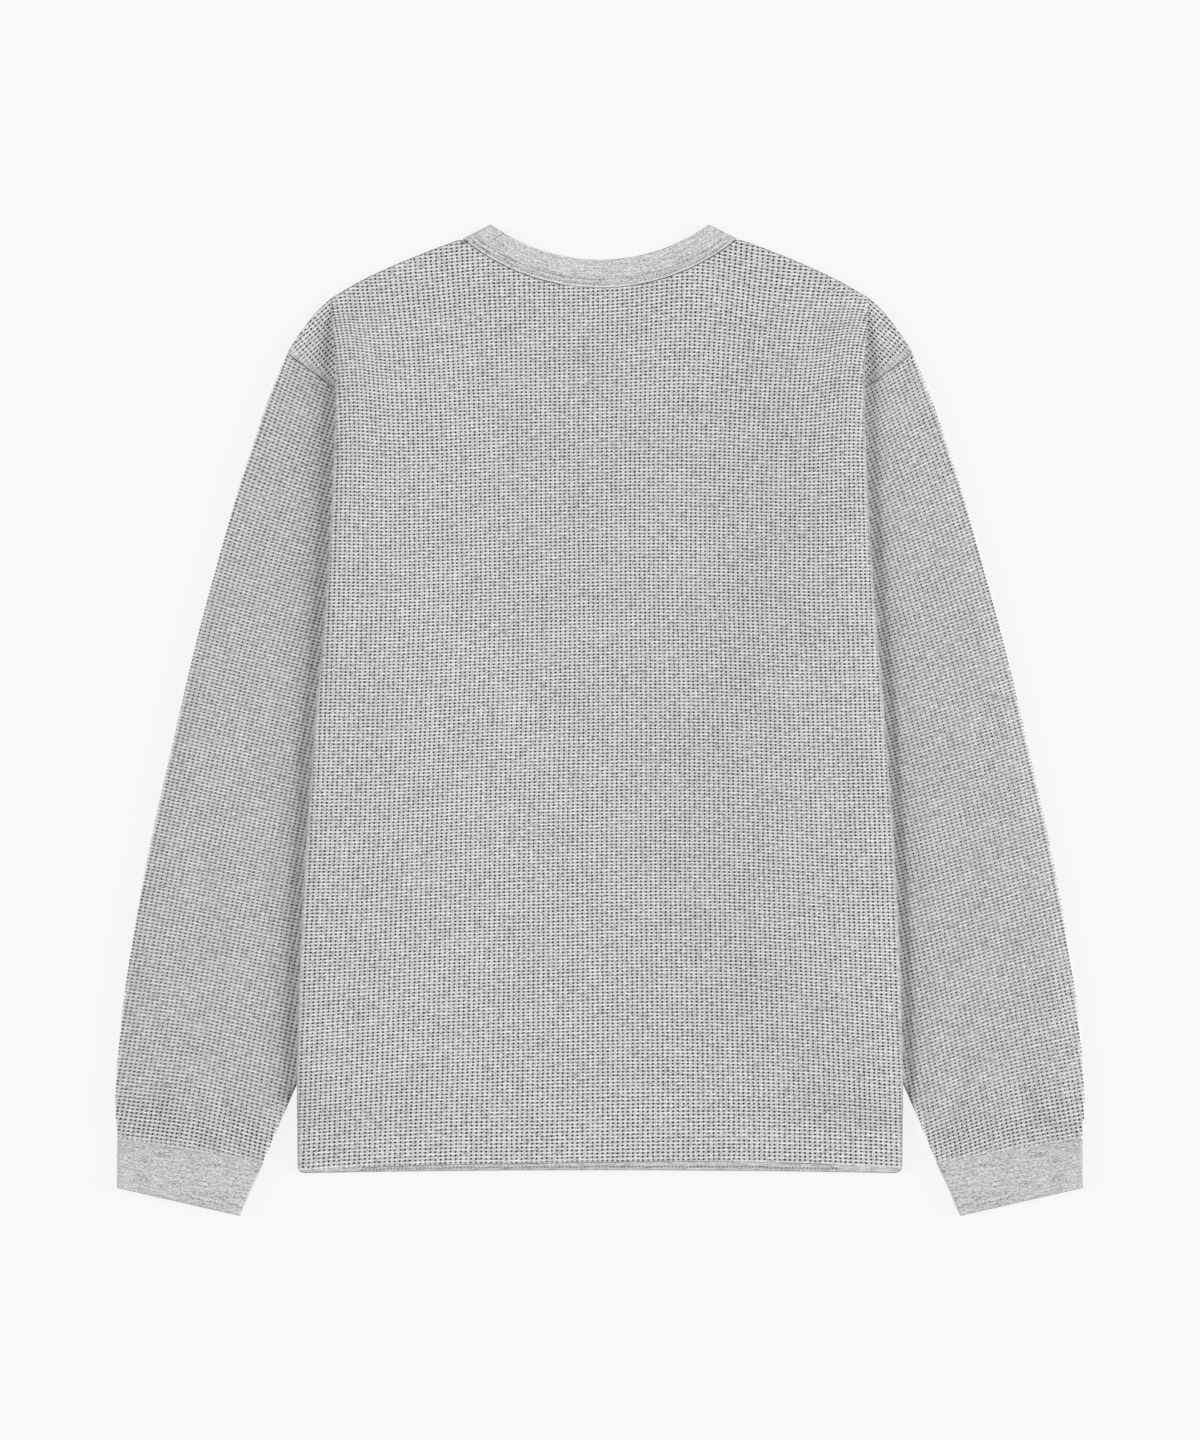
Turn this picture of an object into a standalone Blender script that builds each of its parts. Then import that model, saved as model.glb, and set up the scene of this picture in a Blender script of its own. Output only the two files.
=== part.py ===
"""A long-sleeved waffle-knit thermal top, laid flat with its back uppermost.

Units are metres. +X is to the right, +Y runs from the hem to the neck, +Z is up from the surface
that the top lies on. The origin is on that surface, in the middle of the garment's outline.

Places on the garment are given as a cutter gives them: "out" is the distance out from the centre
line, and "down" is the distance down from the tips of the neck band. The two sides are mirror images.

The front panel lies on the surface and the back panel lies on it. Each sleeve is a flattened tube
whose inner side lies under the two panels, so both panels rise over it along their sides. Between
the shoulder and the armhole seam the panels step down to the sleeve's own height, at a crease.
"""

import math
from collections import namedtuple

import bpy
import numpy as np

# Driving dimensions.
OVERALL_LENGTH = 0.734  # tips of the neck band to the lowest corner of the cuffs
HEM_DOWN = 0.7023  # where the hem lies
CLOTH = 0.0016  # wall of the waffle knit
RIB = 0.0018  # wall of the doubled rib in the neck band and cuffs
SEAM_GAP = 0.0003  # between two pieces where they are sewn together
LAYER_AIR = 0.0010  # air between the two layers of a flattened piece
LEAST_AIR = 0.0003  # the same where a fold presses the layers together
STACK = 2 * CLOTH + LAYER_AIR  # height of two layers of cloth
SLEEVE_LIFT = STACK + 0.0005  # how far the panels rise to clear a sleeve
LIFT_RAMP = 0.055  # width over which the panels come down from a sleeve to the surface
LIFT_MARGIN = 0.012  # level strip of panel past the sleeve's hidden edge
EDGE_ROUND = 0.0014  # width of the rounded edge of a panel
EDGE_DROP = 0.0009  # how much thinner that edge is
SIDE_LOFT = 0.0030  # how far the back panel stands up beside its folded side
LOFT_AT = 0.009  # distance in from the side where it stands highest
SIDE_CLOSES = 0.005  # width over which the two panels come together at the side seam
PUFF_IN = 0.026  # width over which a sleeve fills out beside the body
PUFF_OUT = 0.016  # the same beside its outer fold
HEM_TURNED = 0.0060  # width of the turned edge at the hem
HEM_PROUD = 0.0004  # how much it thickens the back panel
CREASE_STEP = 0.0040  # width of the step at the crease

# The neck: a circular arc for each edge of the band, on the back and on the front.
NeckArc = namedtuple("NeckArc", "half_width down back_depth front_depth")
NECK_SEAM = NeckArc(half_width=0.1014, down=0.0104, back_depth=0.0363, front_depth=0.0888)
NECK_EDGE = NeckArc(half_width=0.0807, down=0.0000, back_depth=0.0263, front_depth=0.0792)

# Ridges and stitching grooves along the neck band: share of its width from the seam, and height.
BandLine = namedtuple("BandLine", "name share proud")
BAND_LINES = [
    BandLine("seam", 0.00, 0.0000),
    BandLine("seam_ridge", 0.06, 0.0004),
    BandLine("first_stitching", 0.13, 0.0000),
    BandLine("between_stitching", 0.21, 0.0002),
    BandLine("second_stitching", 0.31, 0.0000),
    BandLine("plain", 0.42, 0.0001),
    BandLine("edge", 1.00, 0.0000),
]

# The line of the shoulder, from the neck band over the crease to the top of the armhole seam.
ShoulderPoint = namedtuple("ShoulderPoint", "name out down")
SHOULDER = [
    ShoulderPoint("neck_point", 0.1014, 0.0104),
    ShoulderPoint("inner", 0.1310, 0.0207),
    ShoulderPoint("middle", 0.1554, 0.0304),
    ShoulderPoint("outer", 0.1790, 0.0415),
    ShoulderPoint("crease_top", 0.1991, 0.0543),
    ShoulderPoint("drop", 0.2116, 0.0651),
    ShoulderPoint("turn", 0.2225, 0.0790),
    ShoulderPoint("seam_top", 0.2320, 0.0955),
]
CREASE_TOP = 4  # its row in SHOULDER

# The side of the body: its half width, and how far it is lifted by what lies under it (0 to 1).
BodyRow = namedtuple("BodyRow", "name down half_width lifted")
BODY = [
    BodyRow("crease_top", 0.0543, 0.1991, 0.00),
    BodyRow("crease", 0.0784, 0.1976, 0.50),
    BodyRow("seam_meets_crease", 0.1228, 0.1954, 1.00),
    BodyRow("armhole", 0.1672, 0.1968, 1.00),
    BodyRow("underarm", 0.2782, 0.2028, 1.00),
    BodyRow("chest", 0.3522, 0.2094, 1.00),
    BodyRow("waist", 0.4262, 0.2150, 1.00),
    BodyRow("hip", 0.5002, 0.2198, 1.00),
    BodyRow("below_hip", 0.5742, 0.2227, 1.00),
    BodyRow("sleeve_leaves", 0.6371, 0.2242, 1.00),
    BodyRow("above_hem", 0.6705, 0.2242, 0.25),
    BodyRow("hem", HEM_DOWN, 0.2239, 0.00),
]
SEAM_ROW = 2  # the row of BODY where the armhole seam meets the crease

# The sleeve: a section for each row, from its outer folded edge to its inner one. "bent" is how
# much the section bends round the corner of the armhole, and "puff" how far it stands up.
SleeveRow = namedtuple("SleeveRow", "name outer_out outer_down inner_out inner_down bent puff")
SLEEVE = [
    SleeveRow("armhole", 0.2320, 0.0959, 0.1968, 0.2812, 1.00, 0.0000),
    SleeveRow("cap", 0.2464, 0.1317, 0.1880, 0.3019, 0.50, 0.0008),
    SleeveRow("upper_arm", 0.2590, 0.1695, 0.1746, 0.3226, 0.18, 0.0014),
    SleeveRow("biceps", 0.2708, 0.2057, 0.1628, 0.3434, 0.05, 0.0018),
    SleeveRow("above_elbow", 0.2930, 0.2856, 0.1480, 0.3937, 0.00, 0.0021),
    SleeveRow("elbow", 0.3041, 0.3300, 0.1480, 0.4248, 0.00, 0.0022),
    SleeveRow("below_elbow", 0.3167, 0.3855, 0.1532, 0.4632, 0.00, 0.0023),
    SleeveRow("forearm", 0.3293, 0.4410, 0.1635, 0.5002, 0.00, 0.0024),
    SleeveRow("mid_forearm", 0.3411, 0.5002, 0.1791, 0.5409, 0.00, 0.0024),
    SleeveRow("low_forearm", 0.3508, 0.5594, 0.1983, 0.5846, 0.00, 0.0023),
    SleeveRow("leaves_body", 0.3567, 0.6112, 0.2200, 0.6275, 0.00, 0.0020),
    SleeveRow("above_cuff", 0.3589, 0.6482, 0.2361, 0.6638, 0.00, 0.0014),
    SleeveRow("cuff_seam", 0.3574, 0.6775, 0.2494, 0.6956, 0.00, 0.0000),
]
ARMHOLE_CORNER = (0.1894, 0.1280)  # out and down: where the armhole turns, just under the body

# The cuff: its seam edge and its free edge.
CuffRow = namedtuple("CuffRow", "name outer_out outer_down inner_out inner_down")
CUFF = [
    CuffRow("seam", 0.3574, 0.6779, 0.2494, 0.6960),
    CuffRow("middle", 0.3577, 0.6956, 0.2583, 0.7149),
    CuffRow("free", 0.3578, 0.7132, 0.2664, OVERALL_LENGTH),
]

# Soft folds of the back panel and sleeves, as long low ridges (a negative height is a trough).
# "across" and "up" are the middle of the fold in the frame, and "angle" turns it from +X.
Fold = namedtuple("Fold", "name across up angle length width height")
BACK_FOLDS = [
    Fold("left_pit", -0.165, 0.115, 62.0, 0.100, 0.016, -0.0006),
    Fold("left_side", -0.150, 0.060, 118.0, 0.120, 0.022, 0.0009),
    Fold("right_pit", 0.168, 0.235, 97.0, 0.130, 0.013, -0.0006),
    Fold("right_side", 0.130, 0.075, 70.0, 0.140, 0.024, 0.0009),
    Fold("right_waist", 0.060, 0.050, 112.0, 0.110, 0.026, -0.0005),
    Fold("shoulders", 0.000, 0.215, 2.0, 0.260, 0.030, 0.0007),
    Fold("left_low", -0.120, -0.210, 38.0, 0.120, 0.024, 0.0008),
    Fold("right_low", 0.110, -0.180, 150.0, 0.140, 0.026, 0.0008),
]
SLEEVE_FOLDS = [
    Fold("left_cuff_outer", -0.330, -0.285, 84.0, 0.050, 0.006, -0.0009),
    Fold("left_cuff_inner", -0.287, -0.290, 104.0, 0.060, 0.007, -0.0009),
    Fold("left_forearm", -0.270, -0.150, 97.0, 0.120, 0.012, 0.0009),
    Fold("right_cuff_inner", 0.265, -0.262, 78.0, 0.060, 0.008, -0.0008),
    Fold("right_cuff_outer", 0.318, -0.288, 100.0, 0.055, 0.007, -0.0010),
    Fold("right_forearm", 0.292, -0.120, 80.0, 0.130, 0.013, 0.0009),
]

# How finely the solids are divided.
HEM_ROWS = (0.0, EDGE_ROUND, HEM_TURNED - HEM_PROUD)  # heights above the hem
SHOULDER_COLUMNS = 7
NECK_COLUMNS = 10
ROWS_TO_SEAM = 27
ROWS_PAST_SEAM = 5
TONGUE_COLUMNS = 4
SLEEVE_RINGS = 25
RUN_COLUMNS = 12
CORNER_COLUMN = 3  # the column of a sleeve that follows the armhole's corner
FOLD_STEPS = 4

# Finish: colour, roughness, metallic.
Finish = namedtuple("Finish", "colour roughness metallic")
WAFFLE_FINISH = Finish((0.50, 0.51, 0.49), 0.92, 0.0)
RIB_FINISH = Finish((0.56, 0.57, 0.555), 0.90, 0.0)


# ---------------------------------------------------------------- curves and heights


def y_of(down):
    """The frame's Y for a distance down from the tips of the neck band."""
    return OVERALL_LENGTH / 2 - np.asarray(down, float)


def smooth_step(t):
    """0 to 1 with level ends, for t from 0 to 1."""
    t = np.clip(t, 0.0, 1.0)
    return t * t * (3 - 2 * t)


def through(knots, values, at):
    """A smooth curve through (knots, values): cubic pieces whose slopes come from the neighbours."""
    knots, values = np.asarray(knots, float), np.asarray(values, float)
    slopes = np.gradient(values, knots)
    at = np.clip(at, knots[0], knots[-1])
    i = np.clip(np.searchsorted(knots, at, side="right") - 1, 0, len(knots) - 2)
    span = knots[i + 1] - knots[i]
    t = (at - knots[i]) / span
    start = (1 + 2 * t) * (1 - t) ** 2 * values[i] + t * (1 - t) ** 2 * span * slopes[i]
    end = t * t * (3 - 2 * t) * values[i + 1] + t * t * (t - 1) * span * slopes[i + 1]
    return start + end


def column(rows, name):
    return np.array([getattr(row, name) for row in rows], float)


def half_width(y):
    """Half the width of the body between its side edges, or between the creases, at height y."""
    return through(column(BODY, "down"), column(BODY, "half_width"), y_of(0) - y)


def sleeve_inner_out(y):
    """How far out the sleeve's hidden edge lies at height y; the body's own edge above the underarm."""
    downs = np.concatenate([[0.0], column(SLEEVE, "inner_down")])
    outs = np.concatenate([[SLEEVE[0].inner_out], column(SLEEVE, "inner_out")])
    return np.interp(y_of(0) - y, downs, outs)


def lift(x, y):
    """Height of the underside of the front panel: level over a sleeve, then down to the surface."""
    y_seen = np.minimum(y, y_of(BODY[0].down))
    along = np.interp(y_of(0) - y_seen, column(BODY, "down"), column(BODY, "lifted"))
    inner = np.minimum(sleeve_inner_out(y_seen), half_width(y_seen)) - LIFT_MARGIN
    past = (inner - np.abs(x)) / LIFT_RAMP
    return SLEEVE_LIFT * smooth_step(along) * (1 - smooth_step(past))


def fold_height(folds, x, y):
    """Sum of the soft folds at a place: each a ridge with a bell-shaped section and fading ends."""
    total = np.zeros(np.broadcast(x, y).shape)
    for fold in folds:
        turn = math.radians(fold.angle)
        along = (x - fold.across) * math.cos(turn) + (y - fold.up) * math.sin(turn)
        aside = (y - fold.up) * math.cos(turn) - (x - fold.across) * math.sin(turn)
        bell = np.exp(-((aside / fold.width) ** 2))
        ends = 1 - smooth_step(2 * np.abs(along) / fold.length)
        total = total + fold.height * bell * ends
    return total


def layer_air(x, y):
    """Air between the front and back panels: more just inside a folded side, and none at its seam."""
    inward = np.maximum(half_width(y) - np.abs(x), 0.0)
    lifted = np.interp(y_of(0) - y, column(BODY, "down"), column(BODY, "lifted"))
    beside = y < y_of(BODY[0].down)
    loft = SIDE_LOFT * (inward / LOFT_AT) * np.exp(1 - inward / LOFT_AT)
    loft = np.where(beside, loft * (0.3 + 0.7 * lifted), 0.0)
    loft = loft * smooth_step((y_of(BODY[0].down) - y) / 0.02)
    air = np.maximum(LAYER_AIR + fold_height(BACK_FOLDS, x, y) + loft, LEAST_AIR)
    closing = np.where(beside, smooth_step(inward / SIDE_CLOSES), 1.0)
    return SEAM_GAP + (air - SEAM_GAP) * closing


def shoulder_down(out):
    """How far down the line of the shoulder is, from the neck point to the crease."""
    rows = SHOULDER[: CREASE_TOP + 1]
    return through(column(rows, "out"), column(rows, "down"), out)


def arc_radius(arc, depth):
    """Radius of the circular arc whose ends are arc.half_width out and whose middle is depth lower."""
    return (arc.half_width**2 + depth**2) / (2 * depth)


def arc_point(arc, depth, share):
    """A point on that arc, as (out, down); share runs from -1 to 1."""
    radius = arc_radius(arc, depth)
    middle_down = arc.down + depth - radius
    start = math.atan2(arc.half_width, arc.down - middle_down)
    angle = share * start
    return radius * np.sin(angle), middle_down + radius * np.cos(angle)


# ---------------------------------------------------------------- meshes


def material(name, finish):
    made = bpy.data.materials.new(name)
    made.use_nodes = True
    shader = made.node_tree.nodes["Principled BSDF"]
    shader.inputs["Base Color"].default_value = (*finish.colour, 1.0)
    shader.inputs["Roughness"].default_value = finish.roughness
    shader.inputs["Metallic"].default_value = finish.metallic
    made.diffuse_color = (*finish.colour, 1.0)
    return made


def add_piece(name, points, faces, finish_material):
    mesh = bpy.data.meshes.new(name)
    mesh.from_pydata([tuple(map(float, p)) for p in points], [], faces)
    mesh.validate()
    mesh.materials.append(finish_material)
    mesh.shade_smooth()
    mesh.set_sharp_from_angle(angle=math.radians(40))
    piece = bpy.data.objects.new(name, mesh)
    bpy.context.scene.collection.objects.link(piece)
    return piece


def plate(name, plan, top, bottom, quads, finish_material):
    """A closed wall over a plan of quads: the top, the bottom, and a rim round every free edge."""
    count = len(plan)
    points = [(x, y, z) for (x, y), z in zip(plan, top)]
    points += [(x, y, z) for (x, y), z in zip(plan, bottom)]
    faces, edges = [], {}
    for quad in quads:
        corners = [v for k, v in enumerate(quad) if v != quad[k - 1]]
        for k in range(1, len(corners) - 1):
            half = [corners[0], corners[k], corners[k + 1]]
            faces.append(half)
            faces.append([v + count for v in reversed(half)])
        for k, start in enumerate(corners):
            end = corners[(k + 1) % len(corners)]
            if (end, start) in edges:
                del edges[(end, start)]
            else:
                edges[(start, end)] = True
    for start, end in edges:
        faces.append([end, start, start + count, end + count])
    return add_piece(name, points, faces, finish_material)


def flat_tube(name, outer_rings, inner_rings, finish_material):
    """A flattened tube's wall from rings of points on its outside and on its inside."""
    rings, around = outer_rings.shape[:2]
    points = np.concatenate([outer_rings.reshape(-1, 3), inner_rings.reshape(-1, 3)])
    inside = rings * around
    faces = []
    for ring in range(rings - 1):
        for k in range(around):
            a, b = ring * around + k, ring * around + (k + 1) % around
            faces.append([a, b, b + around, a + around])
            faces.append([a + inside, a + around + inside, b + around + inside, b + inside])
    last = (rings - 1) * around
    for k in range(around):
        a, b = k, (k + 1) % around
        faces.append([b, a, a + inside, b + inside])
        faces.append([a + last, b + last, b + last + inside, a + last + inside])
    return add_piece(name, points, faces, finish_material)


# ---------------------------------------------------------------- front and back panels


def neck_edge(depth):
    """The panel's neck edge, from the left neck point to the right one: (out, down) at the same
    shares of the arc as the band's own points, moved away from the arc's centre by the gap and by
    the rise of the arc over one straight stretch between them."""
    shares = np.linspace(-1, 1, 2 * NECK_COLUMNS + 1)
    out, down = arc_point(NECK_SEAM, depth, shares)
    radius = arc_radius(NECK_SEAM, depth)
    middle_down = NECK_SEAM.down + depth - radius
    half_stretch = np.hypot(out[1] - out[0], down[1] - down[0]) / 2
    away = (SEAM_GAP + half_stretch**2 / (2 * radius)) / radius
    return out * (1 + away), down + (down - middle_down) * away


def panel_columns(depth):
    """For each column from the left side to the right: its share of the half width, how far down
    its top is, and whether it ends at the neck."""
    side = SHOULDER[CREASE_TOP].out
    out, down = neck_edge(depth)
    neck = out / half_width(y_of(down))
    last_even = 1 - 1.8 * LOFT_AT / side
    even = np.linspace(out[-1] / side, last_even, SHOULDER_COLUMNS)[1:]
    by_side = 1 - np.array([LOFT_AT, LOFT_AT / 2, EDGE_ROUND, 0.0]) / side
    shoulder = np.concatenate([even, by_side])
    tops = shoulder_down(shoulder * side)
    shares = np.concatenate([-shoulder[::-1], neck, shoulder])
    tops = np.concatenate([tops[::-1], down, tops])
    at_neck = np.abs(shares) < neck[-1] + 1e-9
    return zip(shares, tops, at_neck)


def panel_rows(column_height):
    """Heights of a column's rows above the hem: the turned edge, then even rows up to where the
    armhole seam meets the crease, and on to the top."""
    above_turned = HEM_DOWN - BODY[0].down - HEM_TURNED
    seam_share = 1 - (BODY[SEAM_ROW].down - BODY[0].down) / above_turned
    lower = np.linspace(0, seam_share, ROWS_TO_SEAM)
    upper = np.linspace(seam_share, 1 - EDGE_ROUND / above_turned, ROWS_PAST_SEAM)
    shares = np.concatenate([lower, upper[1:], [1.0]])
    return np.concatenate([HEM_ROWS, HEM_TURNED + shares * (column_height - HEM_TURNED)])


def body_panel(name, neck_depth, is_back, finish_material):
    """One panel: a grid over the body, and a tongue on each side that reaches the armhole seam."""
    columns = list(panel_columns(neck_depth))
    plan, level, edge = [], [], []
    for share, top_down, over_neck in columns:
        rows = panel_rows(HEM_DOWN - top_down)
        for height in rows:
            y = float(y_of(HEM_DOWN) + height)
            x = float(share * half_width(y))
            plan.append((x, y))
            level.append(float(lift(x, y)))
            edge.append(abs(share) == 1.0 or (height == rows[-1] and not over_neck))
    count = len(rows)
    seam_row = len(HEM_ROWS) + ROWS_TO_SEAM - 1
    quads = []
    for i in range(len(columns) - 1):
        for j in range(count - 1):
            a, b = i * count + j, (i + 1) * count + j
            quads.append([a, b, b + 1, a + 1])
    for sign, crease in ((-1, 0), (1, (len(columns) - 1) * count)):
        quads += add_tongue(plan, level, edge, sign, crease, seam_row, count)
    x, y = np.array(plan).T
    level, edge = np.array(level), np.array(edge, float)
    if is_back:
        air = np.where(edge > 0, SEAM_GAP, layer_air(x, y))
        hem_up = y - y_of(HEM_DOWN)
        turned = (hem_up > EDGE_ROUND / 2) & (hem_up < HEM_TURNED - HEM_PROUD / 2)
        bottom = level + CLOTH + air
        top = bottom + CLOTH - EDGE_DROP * edge + HEM_PROUD * turned
    else:
        bottom = level + EDGE_DROP * edge
        top = level + CLOTH
    return plate(name, plan, top, bottom, quads, finish_material)


def add_tongue(plan, level, edge, sign, crease, seam_row, count):
    """The part of a panel outside the crease, as rows that shrink to nothing at the crease's top."""
    line = SHOULDER[CREASE_TOP:]
    outs, downs = column(line, "out"), column(line, "down")
    steps = np.arange(seam_row, count)
    shares = (steps - seam_row) / (steps[-1] - seam_row)
    knots = np.linspace(0, 1, len(line))
    tips_out = through(knots, outs[::-1], shares)
    tips_down = through(knots, downs[::-1], shares)
    tips = np.stack([sign * tips_out, y_of(tips_down)], axis=1)
    previous, quads = None, []
    for step, tip in zip(steps, tips):
        start = np.array(plan[crease + step])
        width = float(np.hypot(*(tip - start)))
        if step == steps[-1]:
            row = [crease + step] * (TONGUE_COLUMNS + 2)
        else:
            low = min(CREASE_STEP / width, 0.4)
            rim = max(1 - EDGE_ROUND / width, 0.7)
            row = [crease + step]
            for share in [*np.linspace(low, rim, TONGUE_COLUMNS), 1.0]:
                x, y = start + share * (tip - start)
                row.append(len(plan))
                plan.append((float(x), float(y)))
                level.append(0.0)
                edge.append(share == 1.0)
        if previous:
            for k in range(TONGUE_COLUMNS + 1):
                ring = [previous[k], previous[k + 1], row[k + 1], row[k]]
                quads.append(ring if sign > 0 else ring[::-1])
        previous = row
    return quads


# ---------------------------------------------------------------- sleeves, cuffs and neck band


def loop_stations(run_columns):
    """Round a flattened tube: (side, share along the run, angle of the fold) for each point.
    Side 1 is the upper run and -1 the lower one. The angle is 0 along a run, and a fold's points
    lie at -90 to 90 degrees round the outer or inner end."""
    angles = np.linspace(-math.pi / 2, math.pi / 2, FOLD_STEPS + 1)
    shares = np.linspace(0, 1, run_columns + 2)[1:-1]
    loop = [("outer", 0.0, a) for a in angles]
    loop += [("upper", s, 0.0) for s in shares]
    loop += [("inner", 1.0, a) for a in angles[::-1]]
    loop += [("lower", s, 0.0) for s in shares[::-1]]
    return loop


def tube_rings(sections, run_columns, wall, air):
    """Rings outside and inside the wall. A section has upper and lower paths (share to plan point),
    its length and how proud the outside of its upper run is. air(x, y, outward) gives the air
    between the two layers, outward being the distance from the outer fold."""
    outer_rings, inner_rings = [], []
    for upper, lower, length, proud in sections:
        outer_ring, inner_ring = [], []
        for kind, share, angle in loop_stations(run_columns):
            for ring, depth in ((outer_ring, 0.0), (inner_ring, wall)):
                at, z = share, 0.0
                if kind in ("outer", "inner"):
                    edge = upper(share)
                    gap = air(edge[0], edge[1], share * length)
                    half = gap / 2 + wall - depth
                    inset = (depth + half * (1 - math.cos(angle))) / length
                    at = inset if kind == "outer" else 1 - inset
                    z = wall + gap / 2 + half * math.sin(angle)
                    path = upper if angle >= 0 else lower
                else:
                    path = upper if kind == "upper" else lower
                    place = path(at)
                    z = depth
                    if kind == "upper":
                        z = 2 * wall + air(place[0], place[1], at * length) - depth
                        z += proud if depth == 0 else 0.0
                x, y = path(at)
                ring.append((x, y, z))
        outer_rings.append(outer_ring)
        inner_rings.append(inner_ring)
    return np.array(outer_rings), np.array(inner_rings)


def sleeve_section(sign, share_down):
    """The plan path of one section of the sleeve, straight but for the bend near the armhole."""
    knots = np.linspace(0, 1, len(SLEEVE))
    outer_out, outer_down, inner_out, inner_down, bent = (
        float(through(knots, column(SLEEVE, name), share_down))
        for name in ("outer_out", "outer_down", "inner_out", "inner_down", "bent")
    )
    start = np.array([sign * outer_out, float(y_of(outer_down))])
    end = np.array([sign * inner_out, float(y_of(inner_down))])
    first = SLEEVE[0]
    top = np.array([sign * first.outer_out, float(y_of(first.outer_down))])
    pit = np.array([sign * first.inner_out, float(y_of(first.inner_down))])
    corner = np.array([sign * ARMHOLE_CORNER[0], float(y_of(ARMHOLE_CORNER[1]))])
    corner_at = CORNER_COLUMN / (RUN_COLUMNS + 1)
    shift = (corner - (top + corner_at * (pit - top))) * bent

    def path(share):
        weight = min(share / corner_at, (1 - share) / (1 - corner_at))
        place = start + share * (end - start) + weight * shift
        return float(place[0]), float(place[1])

    return path, path, float(np.hypot(*(end - start))), 0.0


def sleeve_air(puff):
    """Air between a sleeve's layers: it fills out between its outer fold and the body's side."""

    def air(x, y, outward):
        beside_body = smooth_step((abs(x) - float(half_width(y)) - 0.002) / PUFF_IN)
        seen = float(beside_body * smooth_step(outward / PUFF_OUT))
        rise = (puff + float(fold_height(SLEEVE_FOLDS, x, y))) * seen
        return max(LAYER_AIR + rise, LEAST_AIR)

    return air


def sleeve(name, sign, finish_material):
    knots = np.linspace(0, 1, len(SLEEVE))
    outer_rings, inner_rings = [], []
    for share_down in np.linspace(0, 1, SLEEVE_RINGS):
        puff = float(through(knots, column(SLEEVE, "puff"), share_down))
        section = sleeve_section(sign, share_down)
        outer, inner = tube_rings([section], RUN_COLUMNS, CLOTH, sleeve_air(puff))
        outer_rings.append(outer[0])
        inner_rings.append(inner[0])
    return tube_piece(name, np.array(outer_rings), np.array(inner_rings), sign, finish_material)


def tube_piece(name, outer_rings, inner_rings, sign, finish_material):
    """A tube whose faces point outwards whichever way its rings run."""
    if sign < 0:
        outer_rings, inner_rings = outer_rings[:, ::-1], inner_rings[:, ::-1]
    return flat_tube(name, outer_rings, inner_rings, finish_material)


def cuff(name, sign, finish_material):
    sections = []
    for row in CUFF:
        start = np.array([sign * row.outer_out, float(y_of(row.outer_down))])
        end = np.array([sign * row.inner_out, float(y_of(row.inner_down))])

        def path(share, start=start, end=end):
            place = start + share * (end - start)
            return float(place[0]), float(place[1])

        sections.append((path, path, float(np.hypot(*(end - start))), 0.0))
    outer, inner = tube_rings(sections, RUN_COLUMNS, RIB, lambda x, y, outward: LEAST_AIR * 2)
    return tube_piece(name, outer, inner, sign, finish_material)


def neck_band(name, finish_material):
    """A short flattened tube: its upper run follows the back of the neck and its lower the front."""
    sections = []
    for line in BAND_LINES:
        arc = NeckArc(*(a + line.share * (b - a) for a, b in zip(NECK_SEAM, NECK_EDGE)))

        def upper(share, arc=arc):
            out, down = arc_point(arc, arc.back_depth, 2 * share - 1)
            return float(out), float(y_of(down))

        def lower(share, arc=arc):
            out, down = arc_point(arc, arc.front_depth, 2 * share - 1)
            return float(out), float(y_of(down))

        sections.append((upper, lower, 2 * arc.half_width, line.proud))
    outer, inner = tube_rings(
        sections, 2 * NECK_COLUMNS - 1, RIB, lambda x, y, outward: LAYER_AIR / 2
    )
    return tube_piece(name, outer, inner, 1, finish_material)


def build():
    for old in list(bpy.data.objects):
        bpy.data.objects.remove(old)
    waffle = material("waffle_knit", WAFFLE_FINISH)
    rib = material("rib_knit", RIB_FINISH)
    body_panel("front_panel", NECK_SEAM.front_depth, False, waffle)
    body_panel("back_panel", NECK_SEAM.back_depth, True, waffle)
    for side, sign in (("left", -1), ("right", 1)):
        sleeve(side + "_sleeve", sign, waffle)
        cuff(side + "_cuff", sign, rib)
    neck_band("neck_band", rib)


build()
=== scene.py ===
# A waffle-knit thermal top, laid flat with its back uppermost.
# Metres. +X is to the right, +Y runs from the hem to the neck, +Z is up from the surface it lies on.
import math
import bpy
import numpy as np
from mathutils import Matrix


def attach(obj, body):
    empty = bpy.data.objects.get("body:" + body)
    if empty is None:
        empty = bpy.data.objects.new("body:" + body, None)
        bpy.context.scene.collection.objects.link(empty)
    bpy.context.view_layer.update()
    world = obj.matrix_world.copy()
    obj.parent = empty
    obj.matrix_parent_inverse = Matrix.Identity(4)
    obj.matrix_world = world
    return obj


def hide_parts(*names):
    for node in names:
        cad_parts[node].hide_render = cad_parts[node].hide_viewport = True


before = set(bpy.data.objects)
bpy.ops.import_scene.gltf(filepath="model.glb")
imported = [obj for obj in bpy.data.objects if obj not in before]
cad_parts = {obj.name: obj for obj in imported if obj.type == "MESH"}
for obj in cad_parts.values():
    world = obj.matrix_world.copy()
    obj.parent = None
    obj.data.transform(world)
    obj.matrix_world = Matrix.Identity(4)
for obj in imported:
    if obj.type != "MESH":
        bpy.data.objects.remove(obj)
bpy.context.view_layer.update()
print("frame loaded:", sorted(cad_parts))

# "out" is the distance out from the centre line, "down" the distance down from the neck band's tips.
cloth = {
    "length": 0.734,          # tips of the neck band to the lowest corner of the cuffs
    "wall": 0.0016,           # waffle knit
    "ribWall": 0.0018,        # doubled rib of the band and cuffs
    "seamGap": 0.0003,
    "air": 0.0010,            # between two layers that lie on each other
    "leastAir": 0.0003,
    "wale": 0.00363,          # width of one cell of the waffle
    "course": 0.00253,        # its height
    "pitDepth": 0.00055,
    "pitOffCentre": 2.2,      # how fast a pit gets shallower where a rim cuts its cell
    "edgeSteps": 5,           # faces round a rolled edge
}


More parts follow.
